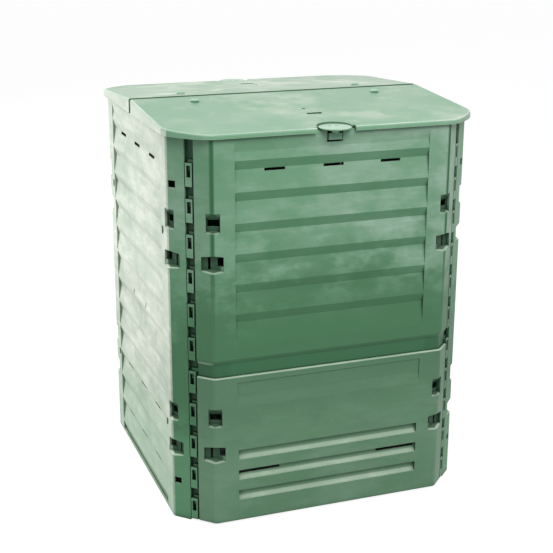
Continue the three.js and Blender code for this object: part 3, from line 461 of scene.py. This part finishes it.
@dataclass(frozen=True)
class WeatheredPlastic:
    """Green moulded plastic that has stood outdoors.

    Chalk clouds its open faces, and overhangs and folds stay cleaner of it. Painted shade darkens
    the overhangs, folds, pockets, the band below a lip, cut faces of the lid, nooks and vents'
    mouths. A lower band is deeper in colour, partly as the plastic's tone and partly as painted
    shade. Sills are pale with dust and painted top light, edges with wear and painted highlight,
    and the sunny side with bleach and painted glare. A field that ends in share says how strongly
    its mark shows, and 0 leaves the mark out. One that ends in mottle says how the clouds break it
    up, and one that ends in rise, foot or head gives the heights between which it comes or goes.
    """

    name: str
    colour: Colour
    roughness: float = 0.42
    rough_mottle: Mottle = Mottle(-0.07, cloud=0.08, wisp=0.06)
    edge_roughness: float = 0.2
    gloss: float = 0.18
    refraction: float = 1.49
    chalk: Colour = (0.66, 0.75, 0.69)
    chalk_low: float = 0.10
    chalk_high: float = 0.56
    chalk_rise: Range = (0.44, 0.82)
    chalk_lean: float = 0.0
    chalk_lean_across: Range = (-0.36, 0.36)
    chalk_mottle: Mottle = Mottle(0.28, cloud=0.22, wisp=0.34, patch=0.26)
    # deep: a lower band, deeper in colour partly as the plastic's tone and partly as painted shade.
    deep_tone_and_shade: Colour = (0.276, 0.462, 0.325)
    deep_share: float = 0.0
    deep_foot: Range = (0.14, 0.30)
    deep_head: Range = (0.52, 0.75)
    deep_wander: Mottle = Mottle(-0.08, cloud=0.06, patch=0.10)
    deep_clean: float = 0.75
    deep_hides: float = 0.65
    # under and its share: painted shade on faces that look down.
    under: Colour = (0.235, 0.420, 0.295)
    under_shade_share: float = 0.42
    under_clean: float = 1.0
    # fold: painted shade on the folds, on the lid's cut faces and on the lip of its seam.
    fold: Colour = (0.215, 0.405, 0.275)
    fold_shade_share: float = 0.0
    # band_shade_share: painted shade on the band below the lip; scuff_and_highlight_mottle: scuffs
    # and painted highlight on its corners' undersides.
    band_shade_share: float = 0.0
    band_corner: float = 0.45
    scuff_and_highlight_mottle: Mottle = Mottle(0.35, wisp=0.55)
    # hollow: painted shade inside the corners' pockets.
    pocket_shade: Colour = (0.140, 0.265, 0.185)
    pocket_shade_share: float = 0.0
    # bleach: the sunny side pale, partly sun bleach and partly painted glare of the lamp on that
    # side.
    bleach_and_glare: Colour = (0.905, 0.925, 0.875)
    bleach_and_glare_share: float = 0.0
    bleach_and_glare_mottle: Mottle = Mottle(0.55, cloud=0.18, wisp=0.31, patch=-0.16)
    bleach_and_glare_low: float = 0.50
    bleach_and_glare_rise: Range = (0.04, 0.50)
    bleach_and_glare_nook: float = 0.6
    bleach_and_glare_edge: float = 0.55
    # dust: pale on faces that look up, partly dust and partly painted light from above.
    dust_and_toplight: Colour = (0.80, 0.87, 0.79)
    dust_and_toplight_share: float = 0.80
    dust_and_toplight_mottle: Mottle = Mottle(0.65, wisp=0.35)
    dust_and_toplight_pocket: float = 0.85
    sill_slope: Range = (0.45, 0.80)
    # cream: pale patches on faces that look up, partly bloom of the plastic and partly painted
    # sheen.
    cream_and_sheen: Colour = (0.86, 0.88, 0.81)
    cream_share: float = 0.0
    cream_patch: float = 0.9
    cream_wisp: float = 0.25
    cut_shade_share: float = 0.0
    seam_lip_shade_share: float = 0.8
    # mouth_shade_share, grime and its shares: painted shade in the mouths of the vents and in the
    # nooks that ambient occlusion finds.
    mouth_shade_share: float = 0.0
    nook_shade: Colour = (0.080, 0.145, 0.100)
    nook_shade_share: float = 0.90
    nook_shade_sunny: float = 0.62
    nook_reach: float = 0.022
    nook_span: Range = (0.22, 0.90)
    edge_radius: float = 0.0014
    # wear_and_highlight_share and wear_and_highlight: pale edges, partly wear and partly painted
    # highlight; rim_share does the same on the lid's rounded rim.
    wear_and_highlight_share: float = 0.40
    wear_and_highlight: Colour = (0.68, 0.78, 0.71)
    rim_share: float = 0.0
    rim_mottle: Mottle = Mottle(0.45, cloud=0.55)
    fleck_share: float = 0.22
    fleck_sunny: float = 0.10
    fleck_tone: float = 0.86
    grain_scale: float = 700.0
    grain_detail: float = 2.0
    grain_rough: float = 0.6
    grain_height: float = 0.00004
    grain_strength: float = 0.35

    def material(self) -> bpy.types.Material:
        """Make the material.

        Returns:
            The finished material.
        """
        shader = Shader(self.name)
        face = Face(shader, self)
        deepness = self.deepness(face)
        sunny = self.sunny(face)
        colour = self.clouded(face, deepness, sunny)
        colour = self.shaded_places(face, colour, deepness)
        colour = self.pale_places(face, colour, sunny)
        colour = self.flecked_and_shaded(face, colour, sunny)
        rough = self.roughness + self.rough_mottle.of(face) + face.edge * self.edge_roughness
        shader.set(Base_Color=colour, Roughness=rough, Normal=self.grained(face))
        shader.set(IOR=self.refraction, Specular_IOR_Level=self.gloss)
        return shader.material

    def deepness(self, face: Face) -> Signal:
        """Give how far a place is in the deeper band, partly tone and partly painted shade, whose
        edges wander.
        """
        level = face.height + self.deep_wander.of(face)
        return level.ramp(*self.deep_foot) * level.fall(*self.deep_head) * self.deep_share

    def sunny(self, face: Face) -> Signal:
        """Give how far a place is on the sunny side: its flat faces and all of its boards.

        Args:
            face: what is read off the surface.

        Returns:
            The share, from 0 to 1.
        """
        flat = face.shader.along(face.normal, SUNNY_SIDE).ramp(*SLOPES.sunny)
        boards = abs(face.y).fall(*PLAN.boards_end) * face.height.fall(*PLAN.boards_head)
        outside = face.x.fall(*PLAN.sunny_skin)
        return flat.most(boards) * outside * (1.0 if self.bleach_and_glare_share else 0.0)

    def clouded(self, face: Face, deepness: Signal, sunny: Signal) -> Signal:
        """Cloud the colour with chalk, more of it further up, and pale the edges and the lid's rim,
        partly as wear and partly as painted highlight.

        Args:
            face: what is read off the surface.
            deepness: how far a place is in the deeper band.
            sunny: how far a place is on the sunny side.

        Returns:
            The colour.
        """
        shader = face.shader
        more = self.chalk_high - self.chalk_low
        amount = self.chalk_low + face.height.ramp(*self.chalk_rise) * more
        if self.chalk_lean:
            across = face.x.ramp(*self.chalk_lean_across) - 0.5
            amount = amount * (1.0 + across * self.chalk_lean)
        veil = amount * self.chalk_mottle.of(face)
        veil = veil * (1.0 - deepness * self.deep_clean) * (1.0 - face.under * self.under_clean)
        # The lower band: partly the plastic's tone and partly painted shade.
        colour = shader.mix(deepness, linear(self.colour), linear(self.deep_tone_and_shade))
        colour = shader.mix(veil, colour, linear(self.chalk))
        # Pale edges and rim: partly wear and partly painted highlight.
        worn_and_highlit = face.edge * self.wear_and_highlight_share
        if self.rim_share:
            rim = face.rise.ramp(*SLOPES.rim_start) * face.rise.fall(*SLOPES.rim_end)
            worn_and_highlit = worn_and_highlit.most(rim * self.rim_mottle.of(face) * self.rim_share)
            worn_and_highlit = worn_and_highlit * abs(face.y).ramp(*PLAN.seam_edge)
        worn_and_highlit = worn_and_highlit * (1.0 - face.under) * (1.0 - sunny)
        return shader.mix(worn_and_highlit, colour, linear(self.wear_and_highlight))

    def shaded_places(self, face: Face, colour: Signal, deepness: Signal) -> Signal:
        """Paint shade on the overhangs, the pockets, the folds and the cut faces of the lid.

        Args:
            face: what is read off the surface.
            colour: the colour so far.
            deepness: how far a place is in the deeper band, where overhangs show less.

        Returns:
            The colour.
        """
        shader = face.shader
        # Painted shade on the overhangs.
        overhang_shade = face.under * (1.0 - deepness * self.deep_hides) * self.under_shade_share
        colour = shader.mix(overhang_shade, colour, linear(self.under))
        # Painted shade inside the pockets.
        if self.pocket_shade_share:
            colour = shader.mix(face.pocket * self.pocket_shade_share, colour, linear(self.pocket_shade))
        if self.band_shade_share:
            colour = self.band_shaded(face, colour)
        # Painted shade on the folds, and on the lid's cut faces and seam lip.
        if self.fold_shade_share:
            colour = shader.mix(face.on_fold() * self.fold_shade_share, colour, linear(self.fold))
        if self.cut_shade_share:
            cut_shade = face.on_cut(self.seam_lip_shade_share) * self.cut_shade_share
            colour = shader.mix(cut_shade, colour, linear(self.fold))
        return colour

    def band_shaded(self, face: Face, colour: Signal) -> Signal:
        """Paint shade on the band below the lip of an upper wall, and pale the undersides at its
        corners, partly as scuffs and partly as painted highlight.

        Args:
            face: what is read off the surface.
            colour: the colour so far.

        Returns:
            The colour.
        """
        below = face.height.fall(*PLAN.lip_foot)
        corner = abs(face.x).ramp(*PLAN.corner)
        # Painted shade on the band below the lip.
        band = below * (1.0 - corner * self.band_corner) * self.band_shade_share
        colour = face.shader.mix(band, colour, linear(self.under))
        # Scuffs and painted highlight on the undersides at the corners.
        scuff_and_highlight = below * face.under * corner * self.scuff_and_highlight_mottle.of(face)
        return face.shader.mix(scuff_and_highlight, colour, linear(self.dust_and_toplight))

    def pale_places(self, face: Face, colour: Signal, sunny: Signal) -> Signal:
        """Lay cream patches, partly bloom and partly painted sheen; dust and painted top light on
        sills; and bleach and painted glare on the sunny side.

        Args:
            face: what is read off the surface.
            colour: the colour so far.
            sunny: how far a place is on the sunny side.

        Returns:
            The colour.
        """
        shader = face.shader
        # Cream patches, partly bloom and partly painted sheen.
        if self.cream_share:
            spots = face.cloud * face.patch * self.cream_patch + face.wisp * self.cream_wisp
            colour = shader.mix(spots * face.up * self.cream_share, colour, linear(self.cream_and_sheen))
        # Dust and painted top light on faces that look up.
        if self.dust_and_toplight_share:
            lying = face.up * self.dust_and_toplight_mottle.of(face)
            lying = lying * (1.0 - face.nook) * (1.0 - face.pocket * self.dust_and_toplight_pocket)
            colour = shader.mix(lying * self.dust_and_toplight_share, colour, linear(self.dust_and_toplight))
        # Bleach and painted glare on the sunny side.
        if self.bleach_and_glare_share:
            lower = self.bleach_and_glare_low + face.height.ramp(*self.bleach_and_glare_rise) * (1.0 - self.bleach_and_glare_low)
            clear = (1.0 - face.nook * self.bleach_and_glare_nook) * (1.0 - face.edge * self.bleach_and_glare_edge)
            clear = clear * (1.0 - face.pocket)
            bleached_and_lit = sunny * self.bleach_and_glare_mottle.of(face) * lower * clear * self.bleach_and_glare_share
            colour = shader.mix(bleached_and_lit, colour, linear(self.bleach_and_glare))
        return colour

    def flecked_and_shaded(self, face: Face, colour: Signal, sunny: Signal) -> Signal:
        """Fleck the colour, and paint shade in the nooks and in the mouths of the vents.

        Args:
            face: what is read off the surface.
            colour: the colour so far.
            sunny: how far a place is on the sunny side, which gets less of the painted shade.

        Returns:
            The colour.
        """
        shader = face.shader
        dark = tuple(self.fleck_tone * part for part in self.colour)
        flecks = face.fleck * (self.fleck_share - sunny * self.fleck_sunny)
        colour = shader.mix(flecks, colour, linear(dark))
        # Painted shade: darker colour in the nooks and in the mouths of the vents.
        painted_shade = face.nook * (1.0 - sunny * self.nook_shade_sunny) * self.nook_shade_share
        if self.mouth_shade_share:
            painted_shade = painted_shade.most(face.mouth * self.mouth_shade_share)
        return shader.mix(painted_shade, colour, linear(self.nook_shade))

    def grained(self, face: Face) -> Signal:
        """Give the normal with a fine moulded grain and with rounded edges.

        Args:
            face: what is read off the surface.

        Returns:
            The normal.
        """
        shader = face.shader
        grain = shader.noise(face.place, self.grain_scale, self.grain_detail, self.grain_rough)
        inputs = {
            "Strength": self.grain_strength,
            "Distance": self.grain_height,
            "Height": grain,
            "Normal": face.soft,
        }
        return shader.signal(shader.node("ShaderNodeBump", {}, inputs))


class Finish(Enum):
    """The finishes of the bin's pieces."""

    SIDE_WALL = WeatheredPlastic(
        "side_wall_plastic",
        (0.345, 0.555, 0.405),
        deep_share=0.95,
        deep_head=(0.44, 0.62),
        pocket_shade_share=0.8,
        mouth_shade_share=0.92,
        bleach_and_glare_share=1.0,
    )
    END_WALL = WeatheredPlastic(
        "end_wall_plastic",
        (0.340, 0.550, 0.400),
        chalk_high=0.70,
        chalk_rise=(0.42, 0.78),
        chalk_lean=0.70,
        deep_share=0.95,
        under_shade_share=0.27,
        under_clean=0.7,
        fold_shade_share=1.0,
        band_shade_share=0.80,
        pocket_shade_share=0.8,
    )
    FLAP = WeatheredPlastic(
        "flap_plastic",
        (0.336, 0.508, 0.374),
        chalk_low=0.28,
        chalk_high=0.28,
        deep_tone_and_shade=(0.310, 0.470, 0.350),
        deep_share=0.80,
        deep_foot=(0.16, 0.34),
        deep_head=(0.50, 0.80),
        pocket_shade_share=0.8,
        sill_slope=(0.05, 0.42),
    )
    LID = WeatheredPlastic(
        "lid_plastic",
        (0.400, 0.610, 0.460),
        roughness=0.36,
        gloss=0.5,
        chalk_low=0.30,
        chalk_high=0.30,
        dust_and_toplight_share=0.0,
        cream_share=0.46,
        bleach_and_glare_share=0.95,
        cut_shade_share=0.9,
        nook_shade=(0.150, 0.330, 0.215),
        nook_shade_share=0.6,
        wear_and_highlight_share=0.80,
        wear_and_highlight=(0.88, 0.95, 0.89),
        rim_share=0.85,
        nook_reach=0.014,
        nook_span=(0.35, 0.93),
    )
    REAR_LID = replace(
        LID,
        name="rear_lid_plastic",
        colour=(0.445, 0.605, 0.468),
        chalk_low=0.34,
        chalk_high=0.34,
        cream_share=0.82,
    )
    BAR = WeatheredPlastic(
        "crossbar_plastic",
        (0.310, 0.500, 0.375),
        roughness=0.5,
        dust_and_toplight_share=0.2,
        nook_shade_share=0.6,
    )
    KNOB = WeatheredPlastic(
        "knob_plastic",
        (0.400, 0.620, 0.470),
        roughness=0.34,
        gloss=0.5,
        chalk_low=0.35,
        chalk_high=0.35,
        dust_and_toplight=(0.83, 0.91, 0.84),
        dust_and_toplight_share=0.60,
        nook_reach=0.010,
    )
    PEG = WeatheredPlastic(
        "peg_plastic",
        (0.460, 0.690, 0.545),
        roughness=0.32,
        gloss=0.5,
        dust_and_toplight=(0.78, 0.90, 0.81),
        dust_and_toplight_share=0.90,
        sill_slope=(0.40, 0.85),
        nook_shade_share=0.2,
        nook_reach=0.005,
    )
    FITTING = WeatheredPlastic(
        "fitting_plastic",
        (0.310, 0.535, 0.400),
        roughness=0.34,
        dust_and_toplight_share=0.30,
    )


_made: dict[Finish, bpy.types.Material] = {}


def material_of(finish: Finish) -> bpy.types.Material:
    """Give the material of a finish, made once.

    Args:
        finish: the finish.

    Returns:
        Its material.
    """
    if finish not in _made:
        _made[finish] = finish.value.material()
    return _made[finish]


def dress(node: str, finish: Finish) -> None:
    """Give a CAD node its finish.

    Args:
        node: the node's name.
        finish: the finish that it takes.
    """
    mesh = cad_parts[node].data
    if not mesh.materials:
        mesh.materials.append(material_of(finish))
    for i in range(len(mesh.materials)):
        mesh.materials[i] = material_of(finish)


def spun(outline: Iterable[Point], steps: int) -> bmesh.types.BMesh:
    """Spin an outline of radius and height about the Z axis, with both ends on the axis.

    Args:
        outline: points of radius and height, from one end to the other.
        steps: how many sides the round gets.

    Returns:
        The closed shape.
    """
    shape = bmesh.new()
    row = [shape.verts.new((radius, 0.0, height)) for radius, height in outline]
    edges = [shape.edges.new(pair) for pair in zip(row, row[1:])]
    bmesh.ops.spin(
        shape,
        geom=row + edges,
        cent=(0, 0, 0),
        axis=UP,
        angle=2 * math.pi,
        steps=steps,
        use_merge=True,
        use_duplicate=False,
    )
    bmesh.ops.remove_doubles(shape, verts=shape.verts, dist=WELD)
    return shape


def piece_of(
    name: str, shape: bmesh.types.BMesh, place: Matrix, finish: Finish
) -> bpy.types.Object:
    """Turn a shape into a piece with its object at the origin and its place in its mesh.

    Args:
        name: the piece's name.
        shape: the shape, which is freed.
        place: where the shape goes.
        finish: the finish that it takes.

    Returns:
        The new object.
    """
    bmesh.ops.transform(shape, matrix=place, verts=shape.verts)
    bmesh.ops.recalc_face_normals(shape, faces=shape.faces)
    for face in shape.faces:
        face.smooth = True
    for edge in shape.edges:
        joined = len(edge.link_faces) == 2
        edge.smooth = joined and edge.calc_face_angle(math.pi) < SHARP_ANGLE
    mesh = bpy.data.meshes.new(name)
    shape.to_mesh(mesh)
    shape.free()
    piece = bpy.data.objects.new(name, mesh)
    bpy.context.scene.collection.objects.link(piece)
    mesh.materials.append(material_of(finish))
    return piece


def cut(piece: bpy.types.Object, tool: bpy.types.Object) -> None:
    """Cut one piece with another, which is used up.

    Args:
        piece: the piece that is cut.
        tool: the closed shape that is taken away.
    """
    modifier = piece.modifiers.new("cut", "BOOLEAN")
    modifier.operation = "DIFFERENCE"
    modifier.object = tool
    graph = bpy.context.evaluated_depsgraph_get()
    done = bpy.data.meshes.new_from_object(piece.evaluated_get(graph))
    piece.modifiers.clear()
    piece.data = done
    bpy.data.objects.remove(tool)


class Side(Enum):
    """The two alike ends of the bin."""

    FRONT = "front"
    REAR = "rear"

    def turn(self) -> Matrix:
        """Give the turn that takes a front place to this side."""
        return Matrix.Rotation(0.0 if self is Side.FRONT else math.pi, 4, "Z")


@dataclass
class GateMark:
    """The small ring and nub that the mould's gate leaves on a panel.

    The ring is given in from its outer edge and up from the panel, and the nub as a radius and up
    from the panel.
    """

    radius: float = 0.0048
    depth: float = 0.0009
    ring: Profile = ((0.0, 0.0), (0.000275, 0.0005), (0.000825, 0.0005), (0.0011, 0.0001))
    nub: Profile = ((0.0026, 0.0001), (0.0013, 0.0005), (0.0, 0.0007))
    steps: int = 32

    def build(
        self, name: str, side: Side, spot: Place, finish: Finish, body: str, slot: str
    ) -> bpy.types.Object:
        """Make a mark on an upright face.

        Args:
            name: the piece's name.
            side: the side of the bin that it is on.
            spot: its place on the front, which the side turns.
            finish: the finish of the panel.
            body: the body that the panel belongs to.
            slot: the material slot of the panel; not used.

        Returns:
            The mark.
        """
        outline = [(0.0, -self.depth), (self.radius, -self.depth)]
        outline += [(self.radius - inwards, up) for inwards, up in self.ring]
        outline += self.nub
        outwards = Matrix.Rotation(math.pi / 2, 4, "X")
        place = side.turn() @ Matrix.Translation(spot) @ outwards
        piece = piece_of(name, spun(outline, self.steps), place, finish)
        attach(piece, body)
        return piece


@dataclass
class Walls:
    """The four walls and the crossbar, which come from the frame, with their gate marks."""

    gate_spot: Place = (-0.001, -0.3848, 0.668)
    gate: GateMark = field(default_factory=GateMark)

    def build(self) -> list[bpy.types.Object]:
        """Dress the walls and add the gate marks.

        Returns:
            The new pieces.
        """
        for node in ("left_wall", "right_wall"):
            dress(node, Finish.SIDE_WALL)
        for side in Side:
            dress(f"{side.value}_wall_upper", Finish.END_WALL)
        dress("lid_crossbar", Finish.BAR)
        return [self.gate_mark(side) for side in Side]

    def gate_mark(self, side: Side) -> bpy.types.Object:
        """Make the gate mark of an upper wall."""
        name = f"{side.value}_wall_gate_mark"
        return self.gate.build(name, side, self.gate_spot, Finish.END_WALL, "bin", "wall_green")


@dataclass
class Flap:
    """A lift-out flap, which comes from the frame, with the gate mark of its panel."""

    side: Side
    gate_spot: Place = (0.005, -0.390, 0.243)
    gate: GateMark = field(default_factory=GateMark)

    def build(self) -> list[bpy.types.Object]:
        """Dress the flap and add its gate mark.

        Returns:
            The new pieces.
        """
        name = self.side.value
        dress(f"{name}_flap", Finish.FLAP)
        mark = self.gate.build(
            f"{name}_flap_gate_mark",
            self.side,
            self.gate_spot,
            Finish.FLAP,
            f"flap_{name}",
            "flap_green",
        )
        return [mark]


@dataclass
class LidHalf:
    """One half of the lid with its straps, pins and turned pegs.

    The barb and the top of the shank are given as a radius and a height, the dome in from the
    cap's edge and down from the top, and the dimple as a radius and down from the top.
    """

    side: Side
    peg_across: float = 0.247
    peg_back: float = 0.065
    tail_foot: float = 0.99894
    barb: Point = (0.0049, 1.00374)
    shank: Point = (0.0037, 1.00464)
    seat: float = 1.01579
    head: float = 0.011
    flange: float = 0.0019
    flange_round: float = 0.0007
    fillet: float = 0.0004
    cap: float = 0.0086
    top: float = 1.02079
    dome: Profile = ((0.0, 0.0014), (0.00086, 0.0006), (0.00258, 0.0001), (0.0043, 0.0))
    dimple: Profile = ((0.0030, 0.0), (0.0026, 0.0003), (0.00208, 0.0012), (0.0, 0.0014))
    steps: int = 40

    def build(self) -> list[bpy.types.Object]:
        """Dress the lid half and its fittings, and turn its pegs.

        Returns:
            The new pieces.
        """
        name = self.side.value
        dress(f"lid_{name}", Finish.LID if self.side is Side.FRONT else Finish.REAR_LID)
        made = []
        for end, across in (("left", -self.peg_across), ("right", self.peg_across)):
            dress(f"hinge_strap_{name}_{end}", Finish.FITTING)
            dress(f"hinge_pin_{name}_{end}", Finish.FITTING)
            made.append(self.peg(f"lid_peg_{name}_{end}", across))
        return made

    def peg(self, node: str, across: float) -> bpy.types.Object:
        """Turn a push-in peg: a flanged, domed head with a dimple over a barbed shank.

        Args:
            node: the CAD node that the peg stands for.
            across: its place across the bin.

        Returns:
            The peg.
        """
        flange_top = self.seat + self.flange
        outline = [
            (0.0, self.tail_foot),
            (self.shank[0] / 2, self.tail_foot),
            self.barb,
            self.shank,
            (self.shank[0], self.seat),
            (self.head, self.seat),
            (self.head, flange_top - self.flange_round),
            (self.head - self.flange_round, flange_top),
            (self.cap + self.fillet, flange_top),
            (self.cap, flange_top + self.fillet),
        ]
        outline += [(self.cap - inwards, self.top - down) for inwards, down in self.dome]
        outline += [(radius, self.top - down) for radius, down in self.dimple]
        place = Matrix.Translation((across, self.row(), 0.0))
        piece = piece_of(f"{node}_turned", spun(outline, self.steps), place, Finish.PEG)
        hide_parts(node)
        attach(piece, f"lid_half_{self.side.value}")
        return piece

    def row(self) -> float:
        """Give the row of the pegs, in front of or behind the ridge."""
        return -self.peg_back if self.side is Side.FRONT else self.peg_back


@dataclass
class Latch:
    """A turn latch: the turned knob in the lid's opening and the key below it.

    The foot's round is given in from the rim and up from the foot, and the top's in from the rim
    and down from the top.
    """

    side: Side
    axis: float = 0.387
    foot: float = 0.9888
    top: float = 0.9928
    radius: float = 0.040
    foot_round: Profile = ((0.0012, 0.0), (0.0003, 0.0004), (0.0, 0.0012))
    top_round: Profile = (
        (0.0, 0.0016),
        (0.0004, 0.0009),
        (0.0014, 0.0005),
        (0.0056, 0.0003),
        (0.0200, 0.0001),
    )
    spindle: float = 0.011
    spindle_foot: float = 0.9783
    shank_half: float = 0.004
    shank_foot: float = 0.9655
    shank_round: float = 0.0006
    dimple_across: float = 0.0095
    dimple_in: float = 0.009
    dimple_radius: float = 0.0056
    dimple_depth: float = 0.0016
    dimple_steps: int = 32
    steps: int = 96

    def build(self) -> list[bpy.types.Object]:
        """Dress the key and turn the knob.

        Returns:
            The new pieces.
        """
        dress(f"latch_key_{self.side.value}", Finish.FITTING)
        return [self.knob()]

    def knob(self) -> bpy.types.Object:
        """Turn the knob, with a soft rim, two finger dimples and the square shank of the key.

        Returns:
            The knob.
        """
        outline = [
            (0.0, self.spindle_foot),
            (self.spindle, self.spindle_foot),
            (self.spindle, self.foot),
        ]
        outline += [(self.radius - inwards, self.foot + up) for inwards, up in self.foot_round]
        outline += [(self.radius - inwards, self.top - down) for inwards, down in self.top_round]
        outline.append((0.0, self.top))
        node = f"latch_knob_{self.side.value}"
        place = self.side.turn() @ Matrix.Translation((0.0, -self.axis, 0.0))
        shape = spun(outline, self.steps)
        self.add_shank(shape)
        piece = piece_of(f"{node}_turned", shape, place, Finish.KNOB)
        for across in (-self.dimple_across, self.dimple_across):
            self.press_dimple(piece, place, across)
        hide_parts(node)
        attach(piece, f"latch_{self.side.value}")
        return piece

    def press_dimple(self, piece: bpy.types.Object, place: Matrix, across: float) -> None:
        """Press a finger dimple into the knob's top.

        Args:
            piece: the knob.
            place: where the knob is.
            across: the dimple's place across the knob.
        """
        ball = bmesh.new()
        bmesh.ops.create_uvsphere(
            ball,
            u_segments=self.dimple_steps,
            v_segments=self.dimple_steps // 2,
            radius=self.dimple_radius,
        )
        flat = Matrix.Diagonal((1.0, 1.0, self.dimple_depth / self.dimple_radius, 1.0))
        spot = Matrix.Translation((across, self.dimple_in, self.top))
        cut(piece, piece_of("dimple", ball, place @ spot @ flat, Finish.KNOB))

    def add_shank(self, shape: bmesh.types.BMesh) -> None:
        """Draw the square shank out of the middle of the spindle's foot.

        Args:
            shape: the spun knob before it is placed.
        """
        middle = Matrix.Translation((0.0, 0.0, (self.shank_foot + self.spindle_foot) / 2))
        width = self.shank_half * 2
        tall = self.spindle_foot - self.shank_foot
        block = Matrix.Diagonal((width, width, tall, 1.0))
        bar = bmesh.ops.create_cube(shape, size=1.0, matrix=middle @ block)
        sides = {edge for vert in bar["verts"] for edge in vert.link_edges}
        bmesh.ops.bevel(
            shape,
            geom=list(sides),
            offset=self.shank_round,
            affect="EDGES",
            segments=2,
            profile=0.5,
            material=-1,
        )


@dataclass(frozen=True)
class PhotoCamera:
    """The camera of the photograph, as fitted to it."""

    place: Place = (-1.09276, -2.97460, 1.50905)
    yaw: float = 0.351140
    pitch: float = 0.306093
    roll: float = 0.003466
    focal_pixels: float = 1205.99
    frame_pixels: float = 553.0
    sensor: float = 36.0
    reach: float = 200.0

    def build(self) -> bpy.types.Object:
        """Make the scene's camera.

        Returns:
            The camera.
        """
        data = bpy.data.cameras.new("photo_camera")
        data.sensor_width = self.sensor
        data.lens = self.sensor * self.focal_pixels / self.frame_pixels
        data.clip_end = self.reach
        camera = bpy.data.objects.new("photo_camera", data)
        bpy.context.scene.collection.objects.link(camera)
        forwards = Vector((math.sin(self.yaw), math.cos(self.yaw), 0.0)) * math.cos(self.pitch)
        ahead = forwards - Vector(UP) * math.sin(self.pitch)
        right = Vector((math.cos(self.yaw), -math.sin(self.yaw), 0.0))
        up = right.cross(ahead)
        rolled_right = math.cos(self.roll) * right + math.sin(self.roll) * up
        rolled_up = math.cos(self.roll) * up - math.sin(self.roll) * right
        turn = Matrix((rolled_right, rolled_up, -ahead)).transposed()
        camera.matrix_world = Matrix.Translation(self.place) @ turn.to_4x4()
        bpy.context.scene.camera = camera
        return camera


@dataclass(frozen=True)
class Softbox:
    """A square soft lamp that faces the bin."""

    name: str
    place: Place
    size: float
    power: float
    aim: Place = (0.0, 0.0, 0.5)

    def build(self) -> None:
        """Hang the lamp, which lights the bin but doesn't show in its gloss."""
        data = bpy.data.lights.new(self.name, "AREA")
        data.shape = "SQUARE"
        data.size = self.size
        data.energy = self.power
        lamp = bpy.data.objects.new(self.name, data)
        lamp.visible_camera = False
        lamp.visible_glossy = False
        bpy.context.scene.collection.objects.link(lamp)
        away = Vector(self.place) - Vector(self.aim)
        turn = away.to_track_quat("Z", "Y").to_matrix().to_4x4()
        lamp.matrix_world = Matrix.Translation(self.place) @ turn


@dataclass
class Studio:
    """A pale floor, a white surround and soft lamps."""

    floor_half: float = 60.0
    floor_tone: float = 0.60
    floor_roughness: float = 0.9
    floor_glow: float = 1.40
    floor_glow_share: float = 0.62
    inside: float = 0.380
    inside_corner: float = 0.680
    surround: float = 0.42
    surround_seen: float = 1.03
    softboxes: tuple[Softbox, ...] = (
        Softbox("back_softbox", (-2.6, 3.4, 2.3), 2.6, 210.0),
        Softbox("front_softbox", (0.1, -2.7, 3.4), 2.0, 91.0),
    )

    def build(self) -> None:
        """Make the floor, the surround and the lamps."""
        self.floor()
        self.world()
        for softbox in self.softboxes:
            softbox.build()
        bpy.context.scene.view_settings.view_transform = "Standard"

    def floor(self) -> None:
        """Make the floor, which is white to the camera outside the bin and keeps its shadow."""
        shape = bmesh.new()
        bmesh.ops.create_grid(shape, x_segments=1, y_segments=1, size=self.floor_half)
        mesh = bpy.data.meshes.new("floor")
        shape.to_mesh(mesh)
        shape.free()
        floor = bpy.data.objects.new("floor", mesh)
        bpy.context.scene.collection.objects.link(floor)
        mesh.materials.append(self.floor_finish())

    def floor_finish(self) -> bpy.types.Material:
        """Make the floor's material: matt and pale, and lit up for the camera around the bin.

        Returns:
            The material.
        """
        shader = Shader("floor_white")
        tone = (self.floor_tone, self.floor_tone, self.floor_tone, 1.0)
        shader.set(Base_Color=tone, Roughness=self.floor_roughness)
        lit = {"Color": WHITE, "Strength": self.floor_glow}
        glow = shader.node("ShaderNodeEmission", {}, lit)
        rays = shader.node("ShaderNodeLightPath")
        seen = shader.signal(rays, "Is Camera Ray").most(shader.signal(rays, "Is Glossy Ray"))
        x, y, _ = shader.parts(shader.place())
        straight = abs(x).most(abs(y)).above(self.inside)
        slanted = (abs(x) + abs(y)).above(self.inside_corner)
        share = seen * straight.most(slanted) * self.floor_glow_share
        blend = shader.node("ShaderNodeMixShader", {}, {0: share})
        shader.feed(blend.inputs[1], shader.signal(shader.surface))
        shader.feed(blend.inputs[2], shader.signal(glow))
        output = shader.tree.nodes["Material Output"]
        shader.feed(output.inputs["Surface"], shader.signal(blend))
        return shader.material

    def world(self) -> None:
        """Make the surround: white where it is seen, and softer as a light."""
        world = bpy.data.worlds.new("surround")
        bpy.context.scene.world = world
        world.use_nodes = True
        tree = world.node_tree
        back = tree.nodes["Background"]
        back.inputs["Color"].default_value = WHITE
        rays = tree.nodes.new("ShaderNodeLightPath")
        seen = tree.nodes.new("ShaderNodeMath")
        seen.operation = "MAXIMUM"
        tree.links.new(rays.outputs["Is Camera Ray"], seen.inputs[0])
        tree.links.new(rays.outputs["Is Glossy Ray"], seen.inputs[1])
        strength = tree.nodes.new("ShaderNodeMapRange")
        tree.links.new(seen.outputs[0], strength.inputs["Value"])
        strength.inputs["To Min"].default_value = self.surround
        strength.inputs["To Max"].default_value = self.surround_seen
        tree.links.new(strength.outputs["Result"], back.inputs["Strength"])


def main() -> None:
    """Build the camera, the studio and each sub-assembly in order."""
    logging.basicConfig(level=logging.INFO)
    PhotoCamera().build()
    Studio().build()
    parts = [Walls()]
    for side in Side:
        parts += [Flap(side), LidHalf(side), Latch(side)]
    for part in parts:
        for piece in part.build():
            LOG.info("%s: %d faces", piece.name, len(piece.data.polygons))


if __name__ == "__main__":
    main()
